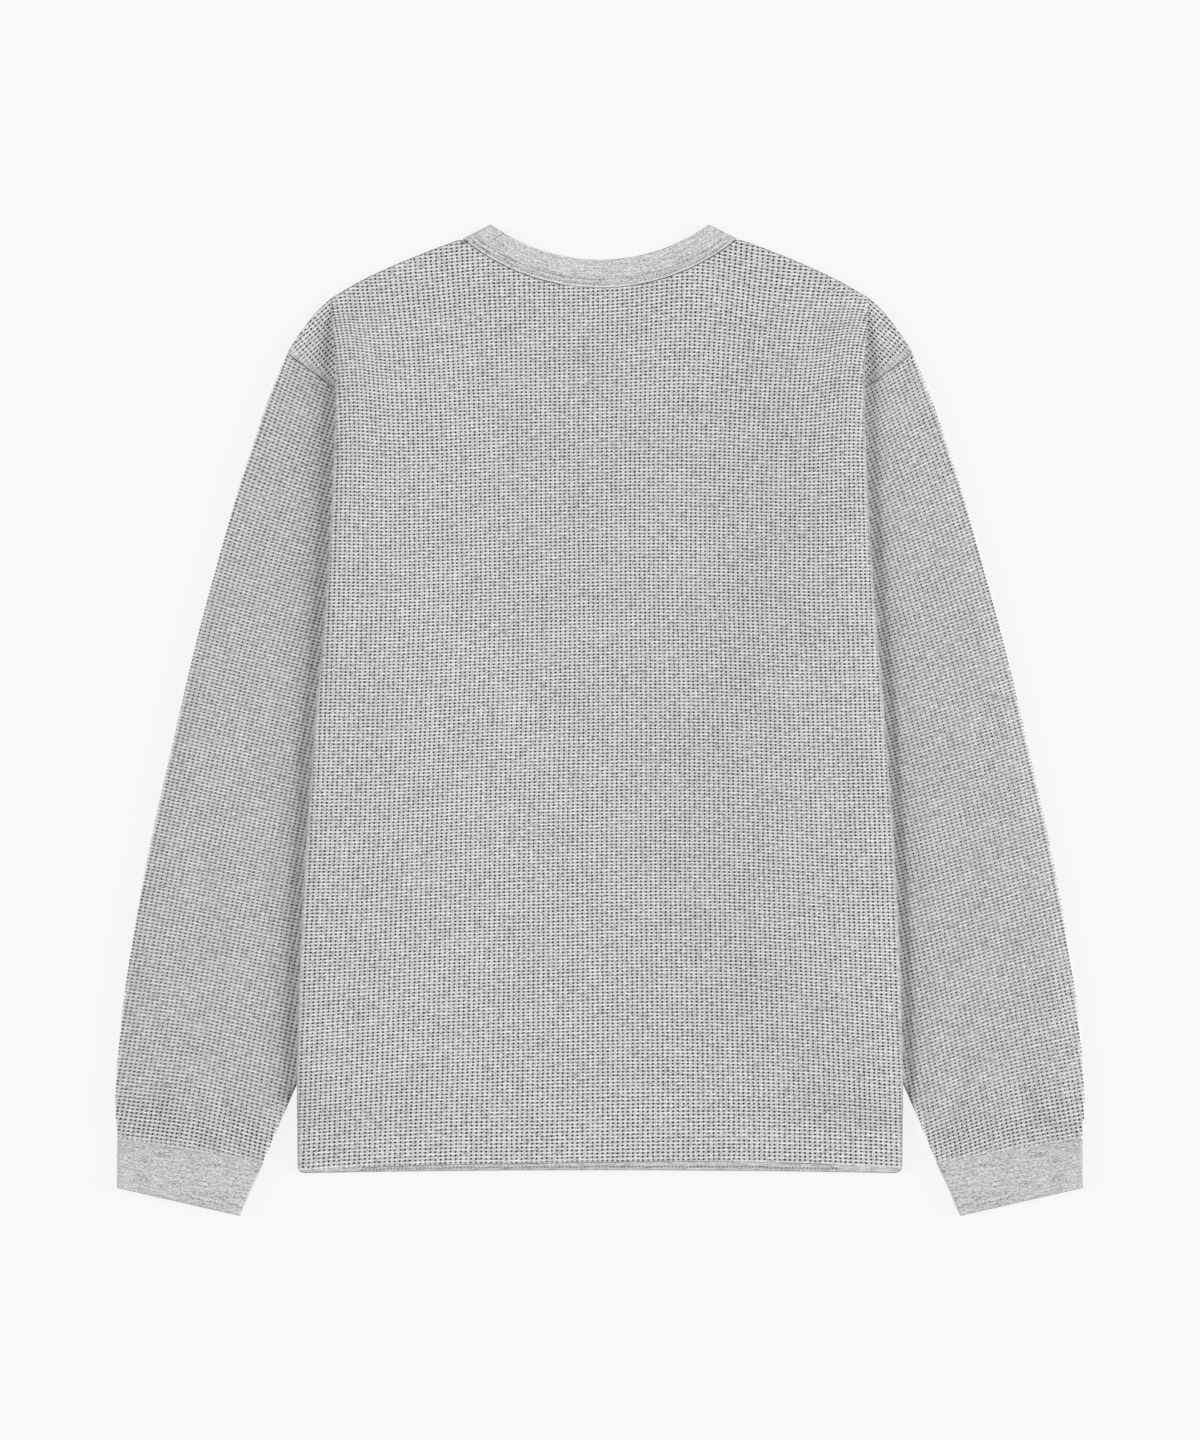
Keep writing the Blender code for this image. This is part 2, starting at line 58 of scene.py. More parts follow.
def yOf(down):
    # height up the frame of a place that is so far down
    return cloth["length"] / 2 - np.asarray(down, float)


def downOf(y):
    # the same the other way round
    return cloth["length"] / 2 - np.asarray(y, float)


def smoothStep(t):
    # 3t2 - 2t3 between 0 and 1
    t = np.clip(t, 0.0, 1.0)
    return t * t * (3 - 2 * t)


def through(knots, values, at):
    # cubic pieces through (knots, values), with slopes from the neighbouring points
    knots = np.asarray(knots, float)
    values = np.asarray(values, float)
    slopes = np.gradient(values, knots)
    at = np.clip(at, knots[0], knots[-1])
    i = np.clip(np.searchsorted(knots, at, side="right") - 1, 0, len(knots) - 2)
    span = knots[i + 1] - knots[i]
    t = (at - knots[i]) / span
    start = (1 + 2 * t) * (1 - t) ** 2 * values[i] + t * (1 - t) ** 2 * span * slopes[i]
    end = t * t * (3 - 2 * t) * values[i + 1] + t * t * (t - 1) * span * slopes[i + 1]
    return start + end


def columnsOf(table):
    # the columns of a dictionary of rows, as arrays
    return np.array(list(table.values()), float).T


def onSide(values, x):
    # the left or the right value, by the side that each point is on
    return np.where(np.asarray(x) < 0, values[-1], values[1])


def foldHeight(folds, x, y):
    # each fold is a ridge with a bell-shaped section exp(-(aside/width)^2) that fades out at its ends
    total = np.zeros(np.broadcast(x, y).shape)
    for across, up, angle, length, width, height in folds.values():
        turn = math.radians(angle)
        along = (x - across) * math.cos(turn) + (y - up) * math.sin(turn)
        aside = (y - up) * math.cos(turn) - (x - across) * math.sin(turn)
        ends = 1 - smoothStep(2 * np.abs(along) / length)
        total = total + height * np.exp(-((aside / width) ** 2)) * ends
    return total


def wobble(x, y, size, length, phase):
    # a slow uneven drift: two crossed sines, each bent by the other
    a = np.sin((x + 0.6 * y) / length + phase + 1.3 * np.sin(y / (1.7 * length) + phase))
    b = np.sin((y - 0.4 * x) / (0.8 * length) + 2.1 * phase + 1.1 * np.sin(x / (1.4 * length)))
    return size * (a + b) / 2


body = {
    "hemDown": 0.7023,
    "hemRise": 0.0022,        # how much higher the hem lies in the middle than at its corners
    "lift": 0.0047,           # how far the panels rise to lie over a sleeve
    "liftRamp": 0.120,        # width over which they come down again
    "liftMargin": 0.012,
    "loft": 0.0009,           # how far the back stands up beside its folded side
    "loftAt": 0.022,          # how far in from the side it stands highest
    "loftLow": 0.3,           # share of it that is left where nothing lies under the panels
    "loftFades": 0.020,       # height over which it ends below the crease
    "sideCloses": 0.005,      # width over which the panels come together at the side
    "overSleeve": 0.0004,     # gap between the folded side and what it lies on
    "hemTurned": 0.0060,      # width of the turned hem
    "hemProud": 0.0004,
    "hemStep": 0.0008,        # width over which the hem's upper edge comes down
    "roll": 0.0016,           # radius of the rolled side
    "lip": 0.0008,            # radius of a plain edge
    "clearOfHem": 0.0001,     # how far from the hem and the neck's points the edge is rolled
    "clearOfNeck": 0.001,
    "rimDepth": 0.15,         # of the pits at the rolled edge
    "frontInset": (0.0008, 0.0024),   # of the front's edge inside the back's: at the hem, elsewhere
    "frontHem": 0.002,        # height up to which the edge is the hem's
    "frontRises": (0.004, 0.0025, 0.005),   # how far below the seam and how far in, over what width
    "hemFollows": 0.6,        # how much of the rows' drop the turned hem follows
    "sidePlain": 0.0010,
    "open": 1.30,             # how far the pits are pulled open
    "pitsFade": 0.0012,       # width over which they end
    "foldSharpens": 0.103,    # above this the folded side runs smoothly into the shoulder
    "sharpensOver": 0.012,
    "pointStep": 0.0022,      # between the points of the back's outline
    "frontStep": 0.0040,
}
linePoints = {
    # of each line before it is cut into even steps
    "hem": 60,
    "side": 160,
    "shoulder": 40,
    "neck": 70,
    "armhole": 24,
    "beyond": 40,
    "tuck": 40,
    "frontSide": 140,
    "frontNeck": 60,
}
bodySide = {
    # down, half width, lifted
    "creaseTop": (0.0543, 0.1991, 0.00),
    "crease": (0.0784, 0.1976, 0.50),
    "seamMeetsCrease": (0.1228, 0.1954, 1.00),
    "armhole": (0.1672, 0.1968, 1.00),
    "underarm": (0.2782, 0.2028, 1.00),
    "chest": (0.3522, 0.2094, 1.00),
    "waist": (0.4262, 0.2150, 1.00),
    "hip": (0.5002, 0.2198, 1.00),
    "belowHip": (0.5742, 0.2227, 1.00),
    "sleeveLeaves": (0.6371, 0.2242, 1.00),
    "aboveHem": (0.6705, 0.2242, 0.25),
    "hem": (0.7023, 0.2239, 0.00),
}
shoulder = {
    # out, down
    "neckPoint": (0.1014, 0.0104),
    "inner": (0.1310, 0.0214),
    "middle": (0.1554, 0.0316),
    "outer": (0.1790, 0.0429),
    "creaseTop": (0.1991, 0.0547),
    "drop": (0.2106, 0.0657),
    "turn": (0.2214, 0.0796),
    "seamTop": (0.2320, 0.0955),
}
backFolds = {
    # across, up, angle, length, width, height
    "leftPit": (-0.165, 0.115, 62.0, 0.100, 0.016, -0.0005),
    "leftSide": (-0.150, 0.060, 118.0, 0.120, 0.022, 0.0005),
    "rightPit": (0.168, 0.235, 97.0, 0.130, 0.013, -0.0005),
    "rightSide": (0.130, 0.075, 70.0, 0.140, 0.024, 0.0006),
    "rightWaist": (0.060, 0.050, 112.0, 0.110, 0.026, -0.0004),
    "shoulders": (0.000, 0.215, 2.0, 0.260, 0.030, 0.0006),
    "leftLow": (-0.120, -0.210, 38.0, 0.120, 0.024, 0.0006),
    "rightLow": (0.110, -0.180, 150.0, 0.140, 0.026, 0.0003),
    "leftEdge": (-0.190, 0.155, 87.0, 0.380, 0.014, 0.0007),
    "rightEdge": (0.2175, -0.170, 92.2, 0.380, 0.012, -0.0011),
}
neckArcs = {
    # half width, down, depth on the back, depth on the front
    "seam": (0.1014, 0.0104, 0.0363, 0.0888),
    "edge": (0.0807, 0.0000, 0.0263, 0.0792),
}


def halfWidth(y):
    # the body's side, as a smooth curve through the rows of bodySide
    rows = columnsOf(bodySide)
    return through(rows[0], rows[1], downOf(y))


def hemAt(x):
    # a parabola: the corners' height, and hemRise more in the middle
    return yOf(body["hemDown"]) + body["hemRise"] * (1 - (x / bodySide["hem"][1]) ** 2)


def liftedAt(y):
    # how much of the lift there is: straight lines through the rows of bodySide
    rows = columnsOf(bodySide)
    return np.interp(downOf(y), rows[0], rows[2])


def arcThrough(halfSpan, down, depth):
    # the arc whose ends are halfSpan out and whose middle is depth lower: its radius
    # (h2 + d2) / 2d, how far down its centre is, and half its angle
    radius = (halfSpan**2 + depth**2) / (2 * depth)
    centre = down + depth - radius
    return radius, centre, np.arctan2(halfSpan, down - centre)


def arcPoints(radius, centre, angle):
    # the points of an arc at angles from its lowest one
    return np.stack([radius * np.sin(angle), yOf(centre + radius * np.cos(angle))], -1)


def armholeEnds():
    # the right armhole seam's lower end, on the body's fold, and its upper one, on the shoulder
    meets, top = bodySide["seamMeetsCrease"], shoulder["seamTop"]
    return np.array([meets[1], yOf(meets[0])]), np.array([top[0], yOf(top[1])])


def besideLine(start, end, x, y):
    # distance to the left of the line from start to end: their cross product over its length
    along = end - start
    return (along[0] * (y - start[1]) - along[1] * (x - start[0])) / np.hypot(*along)


def bodyLift(x, y):
    # level over the sleeve, then an S-curve down to the surface, from the sleeve's inner edge
    down = np.maximum(downOf(y), bodySide["creaseTop"][0])
    seen = yOf(down)
    rows = columnsOf(sleeveRows)
    hidden = np.interp(down, np.append(0.0, rows[3]), np.append(rows[2][0], rows[2]))
    inner = np.minimum(hidden, halfWidth(seen)) - body["liftMargin"]
    past = (inner - np.abs(x)) / body["liftRamp"]
    return body["lift"] * smoothStep(liftedAt(seen)) * (1 - smoothStep(past))


def bodyAir(x, y):
    # the air between the panels: even, plus the folds, plus a swell d/w exp(1 - d/w) beside the side
    inward = np.maximum(halfWidth(y) - np.abs(x), 0.0)
    creaseTop = yOf(bodySide["creaseTop"][0])
    swell = body["loft"] * (inward / body["loftAt"]) * np.exp(1 - inward / body["loftAt"])
    swell = swell * (body["loftLow"] + (1 - body["loftLow"]) * liftedAt(y))
    swell = swell * smoothStep((creaseTop - y) / body["loftFades"])
    air = np.maximum(cloth["air"] + foldHeight(backFolds, x, y) + swell, cloth["leastAir"])
    closing = np.where(y < creaseTop, smoothStep(inward / body["sideCloses"]), 1.0)
    return cloth["seamGap"] + (air - cloth["seamGap"]) * closing


def backTop(x, y):
    # the lift, two walls and the air between them, and the turned hem on top
    turned = 1 - smoothStep((y - hemAt(x) - body["hemTurned"]) / body["hemStep"])
    return bodyLift(x, y) + 2 * cloth["wall"] + bodyAir(x, y) + body["hemProud"] * turned


def hemLine(count):
    # the hem, from left to right
    across = np.linspace(-1, 1, count) * bodySide["hem"][1]
    return np.stack([across, hemAt(across)], 1)


def sideLine(count):
    # the right side, from the hem up to the top of the crease
    y = np.linspace(yOf(body["hemDown"]), yOf(bodySide["creaseTop"][0]), count)
    return np.stack([halfWidth(y), y], 1)


def shoulderLine(count):
    # the right shoulder, from the top of the crease to the neck point
    rows = list(shoulder)[: list(shoulder).index("creaseTop") + 1]
    out, down = np.array([shoulder[name] for name in rows]).T
    across = np.linspace(out[-1], out[0], count)
    return np.stack([across, yOf(through(out, down, across))], 1)


def neckLine(depth, count):
    # the panel's neck edge from right to left, a seam's gap outside the band
    halfSpan, down = neckArcs["seam"][:2]
    radius, centre, halfAngle = arcThrough(halfSpan, down, depth)
    points = arcPoints(radius, centre, np.linspace(1, -1, count) * halfAngle)
    return points - outwardOf(points, False) * cloth["seamGap"]


def mirrored(points):
    # the same line on the other side, run from its other end so that it still turns to the left
    return (points * (-1, 1))[::-1]


def unit(vectors):
    # the vectors, each divided by its length
    return vectors / np.linalg.norm(vectors, axis=-1, keepdims=True)


def outwardOf(points, closed=True):
    # unit vectors to the right of the way the points run
    if closed:
        along = np.roll(points, -1, 0) - np.roll(points, 1, 0)
    else:
        along = np.gradient(points, axis=0)
    along = unit(along)
    return np.stack([along[:, 1], -along[:, 0]], 1)


def addObject(name, data):
    # an object at the origin, in the scene
    added = bpy.data.objects.new(name, data)
    bpy.context.scene.collection.objects.link(added)
    return added


def runOf(path):
    # how far along the path each of its points is
    return np.append(0, np.cumsum(np.linalg.norm(np.diff(path, axis=0), axis=1)))


def alongPath(path, at):
    # the points that are so far along the path
    run = runOf(path)
    return np.stack([np.interp(at, run, column) for column in path.T], -1)


def evenly(points, step):
    # the closed line through the points, cut into even steps
    ring = np.concatenate([points, points[:1]])
    length = runOf(ring)[-1]
    return alongPath(ring, np.linspace(0, length, int(length / step), endpoint=False))


def softened(values, reach):
    # the mean of each value and its neighbours round the ring, which rounds corners off
    shifts = range(-reach, reach + 1)
    return sum(np.roll(values, k, axis=0) for k in shifts) / len(shifts)


def inParts(points, outline):
    # the points in parts, each set against the whole outline in no more than so many pairs
    mostPairs = 4000000
    return np.array_split(points, max(1, len(points) * len(outline) // mostPairs))


def insideOutline(points, outline):
    # a point is inside where a ray to the right crosses the outline an odd number of times
    ends = np.roll(outline, -1, 0)
    notLevel = 1e-15
    inside = []
    for part in inParts(points, outline):
        x, y = part[:, :1], part[:, 1:]
        spans = (outline[:, 1] > y) != (ends[:, 1] > y)
        slope = (ends[:, 0] - outline[:, 0]) / (ends[:, 1] - outline[:, 1] + notLevel)
        crossing = outline[:, 0] + (y - outline[:, 1]) * slope
        inside.append(np.sum(spans & (x < crossing), axis=1) % 2 == 1)
    return np.concatenate(inside)


def nearestOn(points, outline):
    # where on the outline each point's nearest place is, counted in points of it, and how far off
    span = np.roll(outline, -1, 0) - outline
    length2 = np.sum(span**2, axis=1)
    places, distances = [], []
    for part in inParts(points, outline):
        dx = part[:, :1] - outline[:, 0]
        dy = part[:, 1:] - outline[:, 1]
        t = np.clip((dx * span[:, 0] + dy * span[:, 1]) / length2, 0, 1)
        far2 = (dx - t * span[:, 0]) ** 2 + (dy - t * span[:, 1]) ** 2
        best = np.argmin(far2, axis=1)
        rows = np.arange(len(part))
        places.append(best + t[rows, best])
        distances.append(np.sqrt(far2[rows, best]))
    return np.concatenate(places), np.concatenate(distances)


def readRing(values, places):
    # values given at each point of a ring, read at places between them
    low = np.floor(places).astype(int)
    part = (places - low).reshape(-1, *[1] * (values.ndim - 1))
    count = len(values)
    return values[low % count] * (1 - part) + values[(low + 1) % count] * part


# The part of a cell that is kept, for each sum of 1, 2, 4 and 8 for its corners inside: corners
# 0 to 3 run round the cell, and 4 to 7 are the cuts on the sides that start at them.
keptPart = {
    1: (0, 4, 7), 2: (1, 5, 4), 3: (0, 1, 5, 7), 4: (2, 6, 5), 5: (0, 4, 5, 2, 6, 7),
    6: (1, 2, 6, 4), 7: (0, 1, 2, 6, 7), 8: (3, 7, 6), 9: (3, 0, 4, 6), 10: (1, 5, 6, 3, 7, 4),
    11: (3, 0, 1, 5, 6), 12: (2, 3, 7, 5), 13: (2, 3, 0, 4, 5), 14: (1, 2, 3, 7, 4),
    15: (0, 1, 2, 3),
}


def cutSides(grid, outline, inside, along):
    # where the outline crosses the grid's lines: at the share nearA / (nearA + nearB) from A to B
    a = inside[:-1] if along == 0 else inside[:, :-1]
    b = inside[1:] if along == 0 else inside[:, 1:]
    i, j = np.nonzero(a != b)
    first, second = grid[i, j], grid[i + (along == 0), j + (along == 1)]
    nearA, nearB = nearestOn(first, outline)[1], nearestOn(second, outline)[1]
    clear = 0.1  # the least share between a cut and a corner
    share = np.clip(nearA / (nearA + nearB), clear, 1 - clear)[:, None]
    knit = np.stack([i, j], 1) + share * ((1, 0) if along == 0 else (0, 1))
    return (i, j), first + share * (second - first), knit


def trimKnit(grid, outline, pins=()):
    # cuts the cells along the outline; what is left is numbered with the corners first, cuts last
    rows, cols = grid.shape[:2]
    inside = insideOutline(grid.reshape(-1, 2), outline).reshape(rows, cols)
    for again in range(2):  # a corner with no neighbour inside is left out
        alone = np.pad(inside, 1)
        inside &= alone[2:, 1:-1] | alone[:-2, 1:-1] | alone[1:-1, 2:] | alone[1:-1, :-2]
    whole = np.arange(rows * cols).reshape(rows, cols)
    plans, knits, cut, count = [grid.reshape(-1, 2)], [np.argwhere(whole >= 0)], [], rows * cols
    for along in (0, 1):
        at, plan, knit = cutSides(grid, outline, inside, along)
        number = np.zeros((rows, cols), int)
        number[at] = count + np.arange(len(plan))
        count += len(plan)
        plans.append(plan)
        knits.append(knit)
        cut.append(number)
    corners = [inside[:-1, :-1], inside[1:, :-1], inside[1:, 1:], inside[:-1, 1:]]
    kind = sum(corner * 2**k for k, corner in enumerate(corners))
    cells, middles = [], []
    for case, part in keptPart.items():
        i, j = np.nonzero(kind == case)
        if not len(i):
            continue
        choice = [whole[i, j], whole[i + 1, j], whole[i + 1, j + 1], whole[i, j + 1],
                  cut[0][i, j], cut[1][i + 1, j], cut[0][i, j + 1], cut[1][i, j]]
        cells.append(np.stack([choice[k] for k in part], 1))
        middles.append(np.stack([i, j], 1) + 0.5)
    used = np.unique(np.concatenate([cell.ravel() for cell in cells]))
    cells = [np.searchsorted(used, cell) for cell in cells]
    plan = np.concatenate(plans)[used]
    knit = np.concatenate(knits).astype(float)[used]
    across = unit(np.gradient(grid, axis=0)[tuple(np.floor(knit).astype(int).T)])
    loop = rimOf(cells, len(used))
    place, pinned = placeRim(plan[loop], outline, pins)
    plan[loop] = readRing(outline, place)
    return {"plan": plan, "knit": knit, "across": across, "cells": cells, "middles": middles,
            "loop": loop, "place": place, "pinned": pinned}


def rimOf(cells, count):
    # the points of the rim in order: sides that only one cell has, followed by doubling the hops
    starts = np.concatenate([cell.ravel() for cell in cells])
    ends = np.concatenate([np.roll(cell, -1, axis=1).ravel() for cell in cells])
    free = ~np.isin(starts * count + ends, ends * count + starts)
    starts, ends = starts[free], ends[free]
    order = np.argsort(starts)
    rim, follow = starts[order], np.searchsorted(starts[order], ends[order])
    hops = np.ones(len(rim), int)
    follow[0], hops[0] = 0, 0
    for doubling in range(int(math.log2(len(rim))) + 2):
        hops = hops + hops[follow]
        follow = follow[follow]
    return rim[np.argsort(-hops)]


def placeRim(points, outline, pins):
    # slides the rim onto the outline, evens it out a little, and sets points on the pinned corners
    turns = len(outline)
    place = nearestOn(points, outline)[0]
    step = np.diff(place, append=place[0])
    step = (step + turns / 2) % turns - turns / 2
    place = place[0] + np.append(0, np.cumsum(step)[:-1])
    place = np.maximum.accumulate(place)
    pinned = [int(np.argmin(np.abs((place - pin + turns / 2) % turns - turns / 2))) for pin in pins]
    for again in range(2):
        for k, pin in zip(pinned, pins):
            place[k] = pin + turns * round((place[k] - pin) / turns)
        before = np.append(place[-1] - turns, place[:-1])
        after = np.append(place[1:], place[0] + turns)
        place = (before + 2 * place + after) / 4
    for k, pin in zip(pinned, pins):
        place[k] = pin + turns * round((place[k] - pin) / turns)
    return place, pinned


def ringStrip(low, high, keep=None):
    # quads between two rings of points; each runs the way the outline does
    a, b = np.arange(len(low)), np.roll(np.arange(len(low)), -1)
    if keep is not None:
        a, b = a[keep], b[keep]
    return np.stack([low[b], low[a], high[a], high[b]], 1)


class Mesh:
    # points, faces, knit coordinates and pit depth, gathered before they go into Blender
    def __init__(self):
        # nothing gathered yet
        self.points, self.knit, self.depth, self.faces, self.count = [], [], [], [], 0

    def add(self, points, knit, depth):
        # points, where each is in the knit, and how deep its pits are; gives their numbers
        numbers = self.count + np.arange(len(points))
        self.points.append(np.asarray(points, float))
        self.knit.append(np.asarray(knit, float))
        self.depth.append(np.broadcast_to(depth, len(points)).astype(float))
        self.count += len(points)
        return numbers

    def join(self, faces):
        # faces that all have the same number of corners
        self.faces.append(np.asarray(faces, int).reshape(-1, np.shape(faces)[-1]))

    def make(self, name, material):
        # the object, without unused points; "turned" is 0 on level cloth, 1 on upright or under, and
        # masks the painted shade at turned edges
        faces = [f for f in self.faces if len(f)]
        corners = np.concatenate([f.ravel() for f in faces])
        used, corners = np.unique(corners, return_inverse=True)
        points = np.concatenate(self.points)[used]
        knit, depths = np.concatenate(self.knit)[used], np.concatenate(self.depth)[used]
        mesh = bpy.data.meshes.new(name)
        mesh.vertices.add(len(points))
        mesh.vertices.foreach_set("co", points.ravel())
        sizes = np.concatenate([np.full(len(f), f.shape[1]) for f in faces])
        mesh.loops.add(len(corners))
        mesh.loops.foreach_set("vertex_index", corners)
        mesh.polygons.add(len(sizes))
        mesh.polygons.foreach_set("loop_start", np.append(0, np.cumsum(sizes)[:-1]))
        mesh.polygons.foreach_set("loop_total", sizes)
        mesh.update(calc_edges=True)
        uv = mesh.uv_layers.new(name="knit")
        uv.data.foreach_set("uv", knit[corners].ravel())
        depth = mesh.attributes.new("waffleDepth", "FLOAT", "POINT")
        depth.data.foreach_set("value", depths)
        normals = np.empty((len(points), 3))
        mesh.vertex_normals.foreach_get("vector", normals.ravel())
        turned = mesh.attributes.new("turned", "FLOAT", "POINT")
        turned.data.foreach_set("value", np.clip(1 - normals[:, 2], 0, 1))
        mesh.shade_smooth()
        mesh.materials.append(material)
        print(name, len(points), "points", int(np.sum(sizes - 2)), "triangles")
        return addObject(name, mesh)


def liftPits(mesh, trimmed, topAt, depthAt, pitted=True):
    # the upper face: triangles round a pit in each cell, shallower where the rim cuts the cell
    plan, knit = trimmed["plan"], trimmed["knit"]
    x, y = plan.T
    top = mesh.add(np.stack([x, y, topAt(x, y)], 1), knit, depthAt(x, y))
    if not pitted:
        for cells in trimmed["cells"]:
            mesh.join(top[cells])
        return top
    for cells, middles in zip(trimmed["cells"], trimmed["middles"]):
        px, py = plan[cells].mean(axis=1).T
        at = knit[cells].mean(axis=1)
        sink = depthAt(px, py)
        aside = np.linalg.norm(at - middles, axis=1)
        lower = cloth["pitDepth"] * sink * np.clip(1 - cloth["pitOffCentre"] * aside, 0, 1)
        pits = mesh.add(np.stack([px, py, topAt(px, py) - lower], 1), at, sink)
        sides = cells.shape[1]
        for k in range(sides):
            mesh.join(np.stack([top[cells[:, k]], top[cells[:, (k + 1) % sides]], pits], 1))
    return top


def rolledRings(mesh, trimmed, outward, upper, lower, depth, steps):
    # rings of points round an edge, by half an ellipse from the upper face to the lower one: out by
    # reach * cos(angle), and up or down from the middle by half the thickness * sin(angle)
    loop = trimmed["loop"]
    reach = np.linalg.norm(outward, axis=1)
    notZero = 1e-9
    heading = outward / np.maximum(reach, notZero)[:, None]
    across = trimmed["across"][loop]
    along = np.sum(heading * across, axis=1) / cloth["wale"]
    up = (heading[:, 1] * across[:, 0] - heading[:, 0] * across[:, 1]) / cloth["course"]
    middle, half = (upper + lower) / 2, (upper - lower) / 2
    rings = []
    for angle in np.linspace(math.pi / 2, -math.pi / 2, steps + 1)[1:-1]:
        plan = trimmed["plan"][loop] + outward * math.cos(angle)
        z = middle + half * math.sin(angle)
        run = (math.pi / 2 - angle) * (reach + half) / 2
        knit = trimmed["knit"][loop] + np.stack([along * run, up * run], 1)
        rings.append(mesh.add(np.column_stack([plan, z]), knit, depth))
    return rings


def clothPanel(mesh, grid, outline, outward, surfaces, pitted=True):
    # one panel: a pitted face above, a plain one below, and a rolled rim round it
    trimmed = trimKnit(grid, outline)
    plan, loop = trimmed["plan"], trimmed["loop"]
    x, y = plan.T
    top = liftPits(mesh, trimmed, surfaces["top"], surfaces["depth"], pitted)
    under = surfaces["top"](x, y) - cloth["wall"]
    rimUpper = surfaces["top"](*plan[loop].T)
    under[loop] = readRing(surfaces["rimLow"], trimmed["place"])
    bottom = mesh.add(np.stack([x, y, under], 1), trimmed["knit"], 0.0)
    for cells in trimmed["cells"]:
        mesh.join(bottom[cells[:, ::-1]])
    reach = readRing(outward, trimmed["place"])
    rimDepth = surfaces["rimDepth"](*plan[loop].T)
    rings = rolledRings(mesh, trimmed, reach, rimUpper, under[loop], rimDepth, cloth["edgeSteps"])
    rings = [top[loop], *rings, bottom[loop]]
    for low, high in zip(rings[:-1], rings[1:]):
        mesh.join(ringStrip(low, high))


rowTiltAt = (0.0, 0.19, 0.37, 0.56, 0.75, 0.82, 0.885, 0.925, 0.97)   # shares of the half width
rowTilt = {
    # down, and the degrees by which a row drops outwards at each of those shares
    "neck": (0.056, 0.0, 0.0, 0.8, 6.8, 4.2, 2.6, 2.0, -2.0, 6.0),
    "shoulder": (0.071, 0.0, 0.2, 1.0, 5.0, 3.8, 1.5, -2.5, -8.0, 5.0),
    "crease": (0.089, 0.0, 0.4, 1.4, 4.3, 2.2, -4.0, -10.0, -5.5, 6.0),
    "belowCrease": (0.115, 0.0, 0.3, 0.8, 3.0, 0.5, -6.3, -8.5, -3.0, 6.0),
    "pit": (0.145, 0.0, 0.4, 1.2, 3.0, -0.4, -4.8, -6.3, -2.0, 4.0),
    "belowPit": (0.182, 0.0, 0.6, 1.6, 3.2, 0.6, -2.6, -3.6, -2.3, 1.2),
    "chest": (0.219, 0.0, 0.7, 2.0, 2.9, 2.0, -1.4, -3.1, -2.6, 0.0),
    "ribs": (0.278, 0.0, 0.8, 1.6, 2.2, 2.4, 0.0, -0.8, -0.6, 0.2),
    "waist": (0.352, 0.0, 0.9, 1.3, 2.6, 1.0, 0.0, -0.4, -0.6, -0.6),
    "hip": (0.426, 0.0, 0.8, 1.5, 2.7, 1.5, 0.0, -0.4, -0.4, 0.0),
    "seat": (0.500, 0.0, 0.4, 0.9, 2.5, 3.5, 1.9, 0.3, 0.4, 0.5),
    "low": (0.574, 0.0, 0.8, 1.5, 2.3, 3.8, 4.2, 4.6, 4.6, 4.6),
    "aboveHem": (0.633, 0.0, 0.6, 1.6, 1.8, 4.3, 4.9, 5.3, 5.2, 5.0),
    "hem": (0.670, 0.0, 0.3, -0.4, 1.8, 2.5, 3.1, 3.7, 4.0, 4.5),
}
knitScale = {
    # down, width of a wale and height of a course against their usual sizes, narrowing of the wales
    "neck": (0.030, 1.00, 1.02, 0.12),
    "shoulder": (0.100, 0.98, 1.00, 0.11),
    "pit": (0.170, 0.96, 1.00, 0.08),
    "chest": (0.270, 0.955, 1.00, 0.00),
    "waist": (0.420, 0.985, 1.00, 0.00),
    "low": (0.610, 1.02, 1.00, 0.00),
    "aboveHem": (0.660, 1.03, 1.11, 0.00),
    "hem": (0.702, 1.035, 1.08, 0.00),
}
waleLean = {
    # down, how much the wales lean outwards, as a share of the degrees in bodyKnit
    "neck": (0.030, 1.00),
    "shoulder": (0.070, 1.00),
    "crease": (0.090, 0.50),
    "belowCrease": (0.110, 0.40),
    "pit": (0.130, 0.15),
    "belowPit": (0.150, 0.00),
}
bodyKnit = {
    "below": 0.014,           # how far the knit is laid out below the hem
    "above": 0.030,           # and above the neck band's tips
    "half": 0.24,             # and to each side
    "steps": 900,
    "narrowFrom": 0.155,      # how far out the wales begin to be narrower
    "leans": {-1: 6.5, 1: 12.0},      # degrees by which they lean on the left and on the right
    "leansAt": 0.19,          # so far out, and less with the square of the distance
    "rowSlope": 0.026,        # the rows rise to the right about the middle
    "rowReach": 0.070,
    "driftAcross": (0.0005, 0.055, 0.4),
    "driftUp": (0.0005, 0.060, 1.9),
}
rowHump = {
    # the rows rise over a low hump right of the neck
    "across": 0.0666,
    "down": 0.030,
    "width": 0.038,
    "length": 0.085,
    "height": 0.0053,
}


